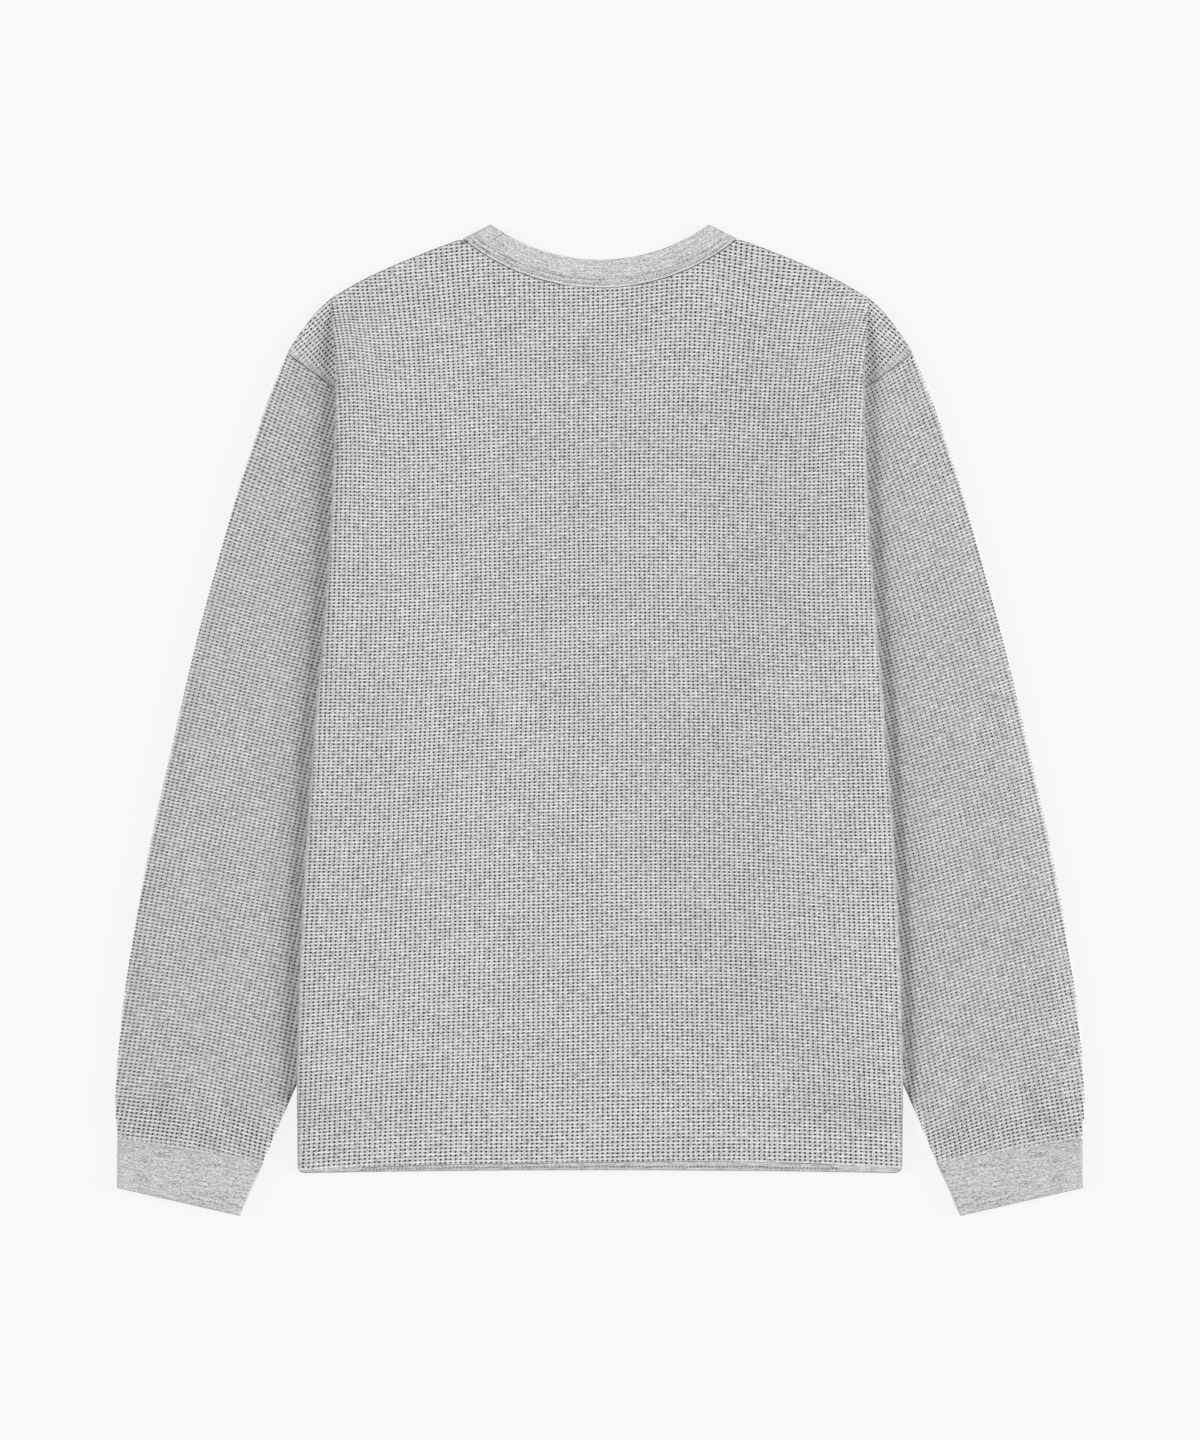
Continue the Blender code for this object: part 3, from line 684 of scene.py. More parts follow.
def rowDrop(x, y):
    # how far below its height at the middle a row lies: tan(tilt) summed over the half width, less
    # slope * reach * tanh(x / reach) and the bell-shaped hump
    table = columnsOf(rowTilt)
    shares = np.linspace(0, 1.1, 111)  # in hundredths, and a little beyond the side
    slopes = np.tan(np.radians([np.interp(shares, rowTiltAt, row) for row in table[1:].T]))
    sums = np.cumsum(slopes, axis=1) * shares[1]
    at = np.clip(np.abs(x) / halfWidth(y), 0, shares[-2]) / shares[1]
    low = at.astype(int)
    drops = sums[:, low] * (1 - at + low) + sums[:, low + 1] * (at - low)
    row = np.interp(downOf(y), table[0], np.arange(len(table[0])))
    above = np.minimum(row.astype(int), len(table[0]) - 2)
    upper = np.take_along_axis(drops, above[None], 0)[0]
    lower = np.take_along_axis(drops, above[None] + 1, 0)[0]
    drop = halfWidth(y) * (upper + (lower - upper) * (row - above))
    lean = bodyKnit["rowSlope"] * bodyKnit["rowReach"] * np.tanh(x / bodyKnit["rowReach"])
    aside = (x - rowHump["across"]) / rowHump["width"]
    below = (downOf(y) - rowHump["down"]) / rowHump["length"]
    return drop - lean - rowHump["height"] * np.exp(-(aside**2) - below**2)


def bodyGrid(wale, course):
    # columns and rows of the knit, spaced by its scale, with each row dropped by rowDrop; the
    # wales' lean is tan(lean) summed over the rows, times the square of the distance out
    at, wide, high, narrow = columnsOf(knitScale)
    down = np.linspace(body["hemDown"] + bodyKnit["below"], -bodyKnit["above"], bodyKnit["steps"])
    run = np.append(0, np.cumsum((down[0] - down[1]) / (course * np.interp(down[1:], at, high))))
    rows = np.interp(np.arange(int(run[-1])), run, down)
    columns = int(bodyKnit["half"] / wale)
    i, down = np.meshgrid(np.arange(-columns, columns + 1), rows, indexing="ij")
    x = i * wale * np.interp(down, at, wide)
    beyond = np.maximum(np.abs(x) - bodyKnit["narrowFrom"], 0.0)
    x = x - np.sign(x) * np.interp(down, at, narrow) * beyond
    leanDown, leanShare = columnsOf(waleLean)
    moved = np.cumsum(np.interp(rows, leanDown, leanShare) * -np.diff(rows, prepend=rows[0]))
    lean = np.tan(np.radians(onSide(bodyKnit["leans"], x)))
    x = x + np.sign(x) * lean * moved * (x / bodyKnit["leansAt"]) ** 2
    y = yOf(down)
    drift = wobble(x, y, *bodyKnit["driftAcross"])
    y = y + wobble(x, y, *bodyKnit["driftUp"])
    x = x + drift
    return np.stack([x, y - rowDrop(x, y)], 2)


def backOutline():
    # hem, side, shoulder, neck and back down, softened, then drawn in by the radius of its edge:
    # gives the line, how far the edge reaches out from it, and where it is rolled, not cut
    side, top = sideLine(linePoints["side"]), shoulderLine(linePoints["shoulder"])
    neck = neckLine(neckArcs["seam"][2], linePoints["neck"])
    hem = hemLine(linePoints["hem"])
    line = np.concatenate([hem, side, top, neck, mirrored(top), mirrored(side)])
    outline = evenly(line, body["pointStep"])
    x, y = outline.T
    rolled = y > hemAt(x) + body["clearOfHem"]
    rolled &= np.abs(x) > neckArcs["seam"][0] + body["clearOfNeck"]
    outline = softened(outline, 2)
    rolled = softened(rolled.astype(float), 2)
    reach = outwardOf(outline) * (body["lip"] + (body["roll"] - body["lip"]) * rolled)[:, None]
    return outline - reach, reach, rolled


def sideIsFree(y):
    # 1 where the folded side runs smoothly into the shoulder, 0 below
    return smoothStep((y - yOf(body["foldSharpens"])) / body["sharpensOver"])


def backMask(x, y):
    # no pits on the turned hem, which follows the rows, nor on the rolled side
    above = y - hemAt(x) + body["hemFollows"] * rowDrop(x, y) - body["hemTurned"]
    inward = halfWidth(y) - np.abs(x) - body["sidePlain"]
    side = np.maximum(smoothStep(inward / body["pitsFade"]), sideIsFree(y))
    return body["open"] * smoothStep(above / body["pitsFade"]) * side


tongue = {
    "turn": 40.0,             # the cloth beyond the crease lies turned by this many degrees
    "tuck": 0.0035,           # how far it goes in under the body
    "under": 0.0090,          # and under the shoulder
    "tuckGrows": 0.016,       # height over which the one becomes the other
    "tuckStarts": 0.004,      # height over which the tuck begins at the seam
    "flat": 0.0044,           # width that is nearly without pits along the armhole seam
    "flatFades": 0.0020,
    "flatDepth": 0.5,         # depth of the pits there, and how much deeper they are beyond
    "deeper": 0.7,
    "height": 0.0035,
    "drift": (0.0003, 0.012, 0.7),
    "gap": 0.0002,            # between it and the body's fold above
    "middle": (0.212, 0.088),         # of its knit: out, down
    "half": (26, 34),         # cells to each side of that
    "pointStep": 0.0016,
}


def tongueOutline():
    # the right one: armhole seam, shoulder, and the tucked edge under the body's fold
    names = list(shoulder)
    rows = names[names.index("creaseTop"):]
    out, down = np.array([shoulder[name] for name in rows]).T
    knots = np.linspace(0, 1, len(rows))
    share = np.linspace(0, 1, linePoints["beyond"])
    edge = np.stack([through(knots, out[::-1], share), yOf(through(knots, down[::-1], share))], 1)
    low = armholeEnds()[0]
    seam = low + np.linspace(0, 1, linePoints["armhole"])[:, None] * (edge[0] - low)
    over = shoulderLine(linePoints["shoulder"])
    over = over[over[:, 0] > edge[-1][0] - tongue["under"]][1:]
    back = np.linspace(over[-1][1], low[1], linePoints["tuck"])[1:]
    high = smoothStep((back - edge[-1][1] + tongue["tuckGrows"]) / tongue["tuckGrows"])
    tucked = tongue["tuck"] + (tongue["under"] - tongue["tuck"]) * high
    tucked = tucked * smoothStep((back - low[1]) / tongue["tuckStarts"])
    return np.concatenate([seam[:-1], edge, over, np.stack([halfWidth(back) - tucked, back], 1)])


def tongueTop(x, y):
    # level, with a slow drift
    return tongue["height"] + wobble(x, y, *tongue["drift"])


def tongueMask(x, y):
    # shallow pits along the armhole seam, and deeper ones beyond
    above = besideLine(*armholeEnds(), np.abs(x), y)
    beyond = smoothStep((above - tongue["flat"]) / tongue["flatFades"])
    return tongue["flatDepth"] + tongue["deeper"] * beyond


def tongueGrid(sign):
    # straight columns and rows, turned about the middle
    turn = math.radians(tongue["turn"])
    columns, rows = (np.arange(-half, half + 1) for half in tongue["half"])
    i, j = np.meshgrid(columns, rows, indexing="ij")
    across = np.array([math.cos(turn), -sign * math.sin(turn)])
    up = np.array([sign * math.sin(turn), math.cos(turn)])
    out, down = tongue["middle"]
    middle = np.array([sign * out, yOf(down)])
    return middle + i[..., None] * cloth["wale"] * across + j[..., None] * cloth["course"] * up


def makeBack(material):
    # the back over the front, and beyond each crease a tongue that lies lower, in one mesh
    outline, outward, rolled = backOutline()
    x, y = outline.T
    low = bodyLift(x, y) + body["overSleeve"]
    creased = (y > yOf(bodySide["seamMeetsCrease"][0])) & (y < yOf(bodySide["creaseTop"][0]))
    low = np.where(creased & (rolled > 0.5), tongue["height"] + tongue["gap"], low)
    lip = backTop(x, y) - cloth["wall"]
    surfaces = {
        "top": backTop,
        "depth": backMask,
        "rimDepth": lambda x, y: body["rimDepth"] + (1 - body["rimDepth"]) * sideIsFree(y),
        "rimLow": np.minimum(softened(low * rolled + lip * (1 - rolled), 1), lip),
    }
    mesh = Mesh()
    clothPanel(mesh, bodyGrid(cloth["wale"], cloth["course"]), outline, outward, surfaces)
    for sign in (-1, 1):
        edge = softened(evenly(tongueOutline(), tongue["pointStep"]), 1)
        if sign < 0:
            edge = mirrored(edge)
        reach = outwardOf(edge) * body["lip"]
        surfaces = {
            "top": tongueTop,
            "depth": tongueMask,
            "rimDepth": lambda x, y: np.full(np.shape(x), tongue["flatDepth"]),
            "rimLow": np.full(len(edge), tongue["height"] - cloth["wall"]),
        }
        clothPanel(mesh, tongueGrid(sign), edge - reach, reach, surfaces)
    return mesh.make("backPanel", material)


def frontShape():
    # the front panel's outline: the body's, with a tongue at each armhole
    side = sideLine(linePoints["frontSide"])
    side = side[side[:, 1] < yOf(bodySide["seamMeetsCrease"][0])]
    free = tongueOutline()[: linePoints["armhole"] - 1 + linePoints["beyond"]]
    half = np.concatenate([side, free, shoulderLine(linePoints["shoulder"])])
    neck = neckLine(neckArcs["seam"][3], linePoints["frontNeck"])
    line = np.concatenate([hemLine(linePoints["hem"]), half, neck, mirrored(half)])
    return softened(evenly(line, body["frontStep"]), 1)


def frontHeight(x, y):
    # level with the surface beyond the crease, and up over the sleeve just inside it
    below, inward, over = body["frontRises"]
    outside = (y > yOf(bodySide["seamMeetsCrease"][0] + below)) * 1.0
    past = (halfWidth(y) - inward - np.abs(x)) / over
    return cloth["wall"] + bodyLift(x, y) * (1 - outside + outside * smoothStep(past))


def makeFront(material):
    # a plain wall a little inside the back's outline, on a grid twice as coarse
    outline = frontShape()
    outwards = outwardOf(outline)
    x, y = outline.T
    atHem, elsewhere = body["frontInset"]
    inset = np.where(y < hemAt(x) + body["frontHem"], atHem, elsewhere)
    inner = outline - outwards * inset[:, None]

    def even(x, y):
        # the same everywhere
        return np.ones(np.shape(x))

    surfaces = {"top": frontHeight, "depth": even, "rimDepth": even,
                "rimLow": frontHeight(*inner.T) - cloth["wall"]}
    mesh, grid = Mesh(), bodyGrid(2 * cloth["wale"], 2 * cloth["course"])
    clothPanel(mesh, grid, inner, outwards * body["lip"], surfaces, pitted=False)
    return mesh.make("frontPanel", material)


sleeveRows = {
    # outer out, outer down, inner out, inner down, bent, puff
    "armhole": (0.2320, 0.0959, 0.1968, 0.2812, 1.00, 0.0000),
    "cap": (0.2464, 0.1317, 0.1880, 0.3019, 0.50, 0.0008),
    "upperArm": (0.2590, 0.1695, 0.1746, 0.3226, 0.18, 0.0014),
    "biceps": (0.2708, 0.2057, 0.1628, 0.3434, 0.05, 0.0018),
    "aboveElbow": (0.2930, 0.2856, 0.1480, 0.3937, 0.00, 0.0021),
    "elbow": (0.3041, 0.3300, 0.1480, 0.4248, 0.00, 0.0022),
    "belowElbow": (0.3167, 0.3855, 0.1532, 0.4632, 0.00, 0.0023),
    "forearm": (0.3293, 0.4410, 0.1635, 0.5002, 0.00, 0.0024),
    "midForearm": (0.3411, 0.5002, 0.1791, 0.5409, 0.00, 0.0024),
    "lowForearm": (0.3508, 0.5594, 0.1983, 0.5846, 0.00, 0.0023),
    "leavesBody": (0.3567, 0.6112, 0.2200, 0.6275, 0.00, 0.0020),
    "aboveCuff": (0.3589, 0.6482, 0.2361, 0.6638, 0.00, 0.0014),
    "cuffSeam": (0.3574, 0.6775, 0.2494, 0.6956, 0.00, 0.0000),
}
sleeves = {
    "corner": (0.1894, 0.1280),   # where the armhole turns, under the body
    "cornerShare": 3 / 13,
    "puffIn": {-1: 0.042, 1: 0.026},   # width over which the swell rises beside the body
    "puffOut": 0.0156863,         # and over which it falls at the outer fold
    "puffAt": 0.35,               # share of the way across at which a row's swell is read
    "puff": {-1: 0.45, 1: 1.0},
    "plainAtCuff": 0.0042,        # width over which the waffle ends above the cuff
    "open": {-1: 1.02, 1: 1.04},  # how far the pits are pulled open
    "openAtCuff": (0.30, 0.017, 0.013),   # more so above the cuff, where the deeper pits also get more painted shade: by how much, middle, width
    "depthAtCuff": 0.4,           # of the pits at the cuff's seam
    "depthFrom": 0.0005,          # how far above it they begin to get deeper
    "points": (180, 50),          # of the outline: along the sleeve, and across its ends
    "foldSteps": 8,               # faces round a folded edge
    "besideBody": 0.002,          # how far from the body's side the swell begins
    "knitOut": 0.3114,            # how far out the middle column is at its lower end
    "knitFrom": 0.74,             # how far down the knit is laid out, from and to
    "knitTo": 0.03,
    "knitSteps": 800,
    "knitHalf": 38,               # columns to each side of the middle one
    "driftAcross": (0.0005, 0.050),
    "driftUp": (0.0005, 0.055),
}
sleeveKnit = {
    # down, degrees by which columns lean, and by which rows are tilted on the left and on the
    # right, height of a course on the left and on the right against its usual size
    "top": (0.090, 21.0, 28.0, 31.0, 0.955, 0.935),
    "upperArm": (0.172, 18.6, 25.2, 28.2, 0.960, 0.935),
    "biceps": (0.218, 17.9, 18.7, 23.8, 0.975, 0.945),
    "aboveElbow": (0.283, 16.2, 14.8, 21.2, 0.970, 0.955),
    "elbow": (0.352, 14.4, 15.0, 18.8, 0.980, 0.965),
    "forearm": (0.434, 12.4, 13.8, 18.0, 0.990, 0.985),
    "midForearm": (0.500, 12.0, 12.5, 18.2, 0.985, 1.000),
    "low": (0.560, 11.5, 11.6, 18.2, 1.010, 1.010),
    "aboveCuff": (0.640, 10.5, 11.5, 17.5, 1.080, 1.070),
    "cuff": (0.700, 9.5, 11.5, 15.5, 1.110, 1.120),
}
rowArch = {
    # of the left upper arm: how far out its middle is, and its bend at places down the sleeve
    "out": 0.229,
    "down": (0.15, 0.21, 0.28, 0.35),
    "bend": (2.7, 2.9, 1.5, 0.0),
}
rowKink = {"out": 0.300, "reach": 0.013, "slope": 0.085, "from": 0.48, "to": 0.63}
sleeveFolds = {
    # across, up, angle, length, width, height
    "leftCuffOuter": (-0.328, -0.293, 82.0, 0.075, 0.0055, -0.0017),
    "leftCuffMiddle": (-0.297, -0.300, 98.0, 0.060, 0.0050, -0.0013),
    "leftCuffInner": (-0.273, -0.296, 106.0, 0.070, 0.0060, -0.0016),
    "leftAboveCuff": (-0.300, -0.303, 9.0, 0.120, 0.0060, -0.0008),
    "leftForearm": (-0.270, -0.150, 97.0, 0.120, 0.012, 0.0009),
    "rightCuffInner": (0.265, -0.275, 78.0, 0.070, 0.0065, -0.0014),
    "rightCuffMiddle": (0.322, -0.2985, 172.0, 0.045, 0.0040, -0.0018),
    "rightCuffOuter": (0.318, -0.283, 100.0, 0.065, 0.0055, -0.0014),
    "rightAboveCuff": (0.300, -0.305, -9.0, 0.120, 0.0060, -0.0007),
    "rightForearm": (0.292, -0.120, 80.0, 0.130, 0.013, 0.0009),
}


def sleeveOutline(sign):
    # the four sides of a flattened sleeve, a fold's radius inside its outer and inner edges:
    # a section runs from the outer edge to the inner one, bent at the armhole's corner
    knots = np.linspace(0, 1, len(sleeveRows))
    radius = cloth["wall"] + cloth["air"] / 2

    def at(across, downwards):
        # the place that is across[0] of the width and across[1] radii in from the outer edge
        rows = [through(knots, column, downwards) for column in columnsOf(sleeveRows)[:5]]
        start, end = np.stack(rows[:2], -1), np.stack(rows[2:4], -1)
        first = list(sleeveRows.values())[0]
        top, pit, corner = np.array(first[:2]), np.array(first[2:4]), np.array(sleeves["corner"])
        share = sleeves["cornerShare"]
        shift = (corner - top - share * (pit - top)) * rows[4][..., None]
        length = np.linalg.norm(end - start, axis=-1)
        part = across[0] + across[1] * radius / length
        weight = np.minimum(part / share, (1 - part) / (1 - share))
        place = start + part[..., None] * (end - start) + weight[..., None] * shift
        return np.stack([place[..., 0], yOf(place[..., 1])], -1)

    long, short = sleeves["points"]
    downs, part = np.linspace(0, 1, long), np.linspace(0, 1, short)
    outer = at((0.0, 1.0), downs)
    inner = at((1.0, -1.0), downs)
    ends = [at((part, 1 - 2 * part), np.full(short, float(k))) for k in (0, 1)]
    outerReach = at((0.0, 0.0), downs) - outer
    innerReach = at((1.0, 0.0), downs) - inner
    # the right sleeve runs: outer edge upwards, armhole, inner edge downwards, cuff
    line = np.concatenate([outer[::-1], ends[0][1:-1], inner, ends[1][::-1][1:-1]])
    zero = np.zeros((short - 2, 2))
    reach = np.concatenate([outerReach[::-1], zero, innerReach, zero])
    corners = np.cumsum([0, long - 1, short - 1, long - 1]).tolist()
    if sign < 0:
        line, reach = mirrored(line), (reach * (-1, 1))[::-1]
        corners = [len(line) - 1 - k for k in corners][::-1]
    return line, reach, corners


def sleeveTop(x, y):
    # two walls and their air, and a swell between the outer fold and the body's side
    rows = columnsOf(sleeveRows)
    down = downOf(y)
    outerOut = through(rows[1], rows[0], down)
    past = np.abs(x) - halfWidth(y) - sleeves["besideBody"]
    beside = smoothStep(past / onSide(sleeves["puffIn"], x))
    outward = smoothStep((outerOut - np.abs(x)) / sleeves["puffOut"])
    seenDown = rows[1] + sleeves["puffAt"] * (rows[3] - rows[1])
    puff = np.interp(down, seenDown, rows[5]) * onSide(sleeves["puff"], x)
    rise = (puff + foldHeight(sleeveFolds, x, y)) * beside * outward
    return 2 * cloth["wall"] + np.maximum(cloth["air"] + rise, cloth["leastAir"])


def sleeveGrid(sign):
    # columns follow a curve that leans by its tilt; rows cross it at theirs, arched on the left
    # upper arm and bent along a line above the cuff by slope * reach * ln cosh(aside / reach)
    at, lean, leftTilt, rightTilt, leftHigh, rightHigh = columnsOf(sleeveKnit)
    down = np.linspace(sleeves["knitFrom"], sleeves["knitTo"], sleeves["knitSteps"])
    leans = np.radians(np.interp(down, at, lean))
    stepDown = down[0] - down[1]
    out = sleeves["knitOut"] - np.append(0, np.cumsum(stepDown * np.tan(leans[:-1])))
    high = cloth["course"] * np.interp(down, at, leftHigh if sign < 0 else rightHigh)
    run = np.append(0, np.cumsum(stepDown / np.cos(leans[:-1]) / high[:-1]))
    rows = np.arange(int(run[-1]))
    rowDown = np.interp(rows, run, down)
    tilt = np.radians(np.interp(rowDown, at, leftTilt if sign < 0 else rightTilt))
    middle = np.stack([sign * np.interp(rows, run, out), yOf(rowDown)], 1)
    across = np.stack([np.cos(tilt), sign * np.sin(tilt)], 1)
    columns = np.arange(-sleeves["knitHalf"], sleeves["knitHalf"] + 1)
    steps = columns[:, None] * cloth["wale"]
    grid = middle[None] + steps[..., None] * across[None]
    x, y = grid[..., 0], grid[..., 1]
    arch = np.interp(rowDown, rowArch["down"], rowArch["bend"]) * (sign < 0)
    y = y + arch * (np.abs(x) - rowArch["out"]) ** 2 / 2
    aside = (np.abs(x) - rowKink["out"]) / rowKink["reach"]
    kink = smoothStep((rowDown - rowKink["from"]) / (rowKink["to"] - rowKink["from"]))
    y = y - kink * rowKink["slope"] * rowKink["reach"] * np.log(np.cosh(aside))
    x = x + wobble(x, y, *sleeves["driftAcross"], 2.2 + sign)
    return np.stack([x, y + wobble(x, y, *sleeves["driftUp"], 0.9 - sign)], 2)


def sleeveMask(x, y):
    # how deep the pits are: pulled open, more so in a band above the cuff, and closed at its seam
    cuff = sleeveRows["cuffSeam"]
    outer, inner = np.array([cuff[0], yOf(cuff[1])]), np.array([cuff[2], yOf(cuff[3])])
    above = besideLine(inner, outer, np.abs(x), y)
    more, middle, width = sleeves["openAtCuff"]
    opened = onSide(sleeves["open"], x) + more * np.exp(-(((above - middle) / width) ** 2))
    least = sleeves["depthAtCuff"]
    beyond = (above - sleeves["depthFrom"]) / sleeves["plainAtCuff"]
    return least + (opened - least) * smoothStep(beyond)


def makeSleeve(name, sign, material):
    # a flattened tube: a pitted upper wall and a plain lower one, each with an inner face, joined by
    # rolled rings inside and out along both folds, and open at the armhole and the cuff
    outline, reach, corners = sleeveOutline(sign)
    trimmed = trimKnit(sleeveGrid(sign), outline, corners)
    plan, loop = trimmed["plan"], trimmed["loop"]
    x, y = plan.T
    wall, steps, mesh = cloth["wall"], sleeves["foldSteps"], Mesh()
    topZ = sleeveTop(x, y)
    top = liftPits(mesh, trimmed, sleeveTop, sleeveMask)
    heights = (topZ - wall, np.full(len(x), wall), np.zeros(len(x)))
    layers = [mesh.add(np.stack([x, y, z], 1), trimmed["knit"], 0.0) for z in heights]
    for cells in trimmed["cells"]:
        mesh.join(layers[0][cells[:, ::-1]])
        mesh.join(layers[1][cells])
        mesh.join(layers[2][cells[:, ::-1]])
    turns, place = len(outline), trimmed["place"]
    outward = readRing(reach, place)
    # an edge of the loop is on a fold where its middle lies on the outer or inner side
    after = np.append(place[1:], place[0] + turns)
    middle = ((place + after) / 2) % turns
    onFold = (middle > corners[0]) & (middle < corners[1])
    onFold |= (middle > corners[2]) & (middle < corners[3])
    depth = sleeveMask(*plan[loop].T)
    upper, lower = topZ[loop], np.zeros(len(loop))
    rings = rolledRings(mesh, trimmed, outward, upper, lower, depth, steps)
    inner = outward * (1 - wall / (wall + cloth["air"] / 2))
    innerRings = rolledRings(mesh, trimmed, inner, upper - wall, lower + wall, 0.0, steps)
    rings = [top[loop], *rings, layers[2][loop]]
    innerRings = [layers[0][loop], *innerRings, layers[1][loop]]
    for k in range(steps):
        mesh.join(ringStrip(rings[k], rings[k + 1], onFold))
        mesh.join(ringStrip(innerRings[k], innerRings[k + 1], onFold)[:, ::-1])
    mesh.join(ringStrip(top[loop], layers[0][loop], ~onFold))
    mesh.join(ringStrip(layers[1][loop], layers[2][loop], ~onFold))
    before = np.roll(onFold, 1)
    for k in np.flatnonzero(before != onFold):  # where a fold ends, the wall's section is closed
        for s in range(steps):
            cap = [rings[s][k], rings[s + 1][k], innerRings[s + 1][k], innerRings[s][k]]
            mesh.join([cap if before[k] else cap[::-1]])
    return mesh.make(name, material)


bandProfile = {
    # share of the band's width from its seam, how proud it stands
    "seam": (0.00, -0.0004),
    "seamEdge": (0.02, 0.0000),
    "seamRidge": (0.05, 0.0003),
    "firstStitching": (0.10, -0.0002),
    "betweenStitching": (0.19, 0.0003),
    "secondStitching": (0.28, -0.0002),
    "beyondStitching": (0.35, 0.0001),
    "plain": (0.60, 0.0001),
    "edge": (1.00, 0.0000),
}
cuffProfile = {
    # the same for a cuff
    "seam": (0.00, -0.0002),
    "seamEdge": (0.03, 0.0001),
    "seamRidge": (0.08, 0.0002),
    "belowRidge": (0.16, 0.0000),
    "plain": (0.50, 0.0001),
    "edge": (1.00, 0.0000),
}
cuffRows = {
    # outer out, outer down, inner out, inner down
    "seam": (0.3574, 0.6779, 0.2494, 0.6960),
    "middle": (0.3577, 0.6956, 0.2583, 0.7149),
    "free": (0.3578, 0.7132, 0.2664, 0.7340),
}
bands = {
    "neckWidth": 0.0208,
    "cuffWidth": 0.0365,
    "neckStations": 170,      # along each side of the flattened band
    "cuffStations": 90,
    "foldSteps": 8,           # faces round each of its ends
    "edgeSteps": 8,           # and round its free edge
    "sections": 18,           # faces across its width, and more at these shares of it
    "close": (0.02, 0.05, 0.075, 0.1, 0.13, 0.19, 0.25, 0.28, 0.32),
}


def bandTube(name, material, lineAt, width, gap, profile, along):
    # a flattened tube of folded rib: stations go round it, and at each one the wall's section goes
    # from the seam to the free edge outside, round that edge and back inside
    wall, foldSteps = cloth["ribWall"], bands["foldSteps"]
    run = np.linspace(0, 1, along)
    fold = np.linspace(-math.pi / 2, math.pi / 2, foldSteps + 1)[1:-1]
    side = np.concatenate([run, np.ones(foldSteps - 1), run[::-1], np.zeros(foldSteps - 1)])
    turn = np.concatenate([np.full(along, math.pi / 2), fold[::-1],
                           np.full(along, -math.pi / 2), fold])
    edge = wall / 2 / width
    shares = np.concatenate([np.linspace(0, 1 - edge, bands["sections"]), bands["close"]])
    shares = np.unique(shares)
    shares = shares[shares <= 1 - edge]
    bend = np.linspace(0, math.pi, bands["edgeSteps"] + 1)[1:-1]
    share = np.concatenate([shares, 1 - edge + edge * np.sin(bend), shares[::-1]])
    deep = np.concatenate([np.zeros(len(shares)), (1 - np.cos(bend)) / 2, np.ones(len(shares))])
    outerFace, uppermost = deep < 0.2, np.sin(turn) > 0.99
    raised = through(*columnsOf(profile), share) * outerFace
    half = gap / 2 + wall * (1 - deep[None]) + raised[None] * uppermost[:, None]
    reach = half * np.cos(turn)[:, None]
    inset = gap / 2 + wall - reach
    notZero = 1e-6
    onFold = np.cos(turn)[:, None] > notZero
    place = lineAt(side[:, None], share[None], inset, turn[:, None] > 0, onFold)
    z = wall + gap / 2 + half * np.sin(turn)[:, None]
    stations, parts = z.shape
    solid = np.concatenate([place, z[..., None]], 2)
    points = solid.reshape(-1, 3)
    travel = np.linalg.norm(np.diff(solid, axis=0, append=solid[:1]), axis=2).mean(axis=1)
    u = np.broadcast_to(np.cumsum(travel)[:, None], z.shape)
    v = np.broadcast_to((share * width)[None], z.shape)
    mesh = Mesh()
    numbers = mesh.add(points, np.stack([u, v], -1).reshape(-1, 2), 1.0).reshape(stations, parts)
    right, up = np.roll(numbers, -1, 0), np.roll(numbers, -1, 1)
    quads = np.stack([numbers, right, np.roll(right, -1, 1), up], -1).reshape(-1, 4)
    first = points[quads[0]]
    facing = np.cross(first[1] - first[0], first[2] - first[0])[2]
    mesh.join(quads if facing > 0 else quads[:, ::-1])
    return mesh.make(name, material)


def neckPlace(side, share, inset, upper, onFold):
    # arcs between the seam's and the free edge's; the upper run is the back's and the lower the front's
    seam, edge = neckArcs["seam"], neckArcs["edge"]
    halfSpan, down, back, front = (a + share * (b - a) for a, b in zip(seam, edge))
    radius, centre, halfAngle = arcThrough(halfSpan, down, np.where(upper, back, front))
    full = cloth["ribWall"] + cloth["air"] / 4
    angle = (2 * side - 1) * (halfAngle - np.where(onFold, inset, full) / radius)
    return arcPoints(radius, centre, angle)


def makeNeckBand(material):
    # a band whose stations go along the back's arc and return along the front's
    gap = cloth["air"] / 2
    width, stations = bands["neckWidth"], bands["neckStations"]
    return bandTube("neckBand", material, neckPlace, width, gap, bandProfile, stations)


def makeCuff(name, sign, material):
    # a band whose stations go in straight lines between its outer and inner folds
    rows = columnsOf(cuffRows)
    knots = np.linspace(0, 1, 3)

    def place(side, share, inset, upper, onFold):
        # the place that is side of the way from the outer fold to the inner one
        outerOut, outerDown, innerOut, innerDown = (np.interp(share, knots, row) for row in rows)
        length = np.hypot(outerOut - innerOut, outerDown - innerDown)
        full = (cloth["ribWall"] + cloth["leastAir"]) / length
        clear = inset / length
        at = np.where(onFold, np.where(side > 0.5, 1 - clear, clear), full + side * (1 - 2 * full))
        out = outerOut + at * (innerOut - outerOut)
        down = outerDown + at * (innerDown - outerDown)
        return np.stack([sign * out, yOf(down)], -1)

    gap = 2 * cloth["leastAir"]
    width, stations = bands["cuffWidth"], bands["cuffStations"]
    return bandTube(name, material, place, width, gap, cuffProfile, stations)


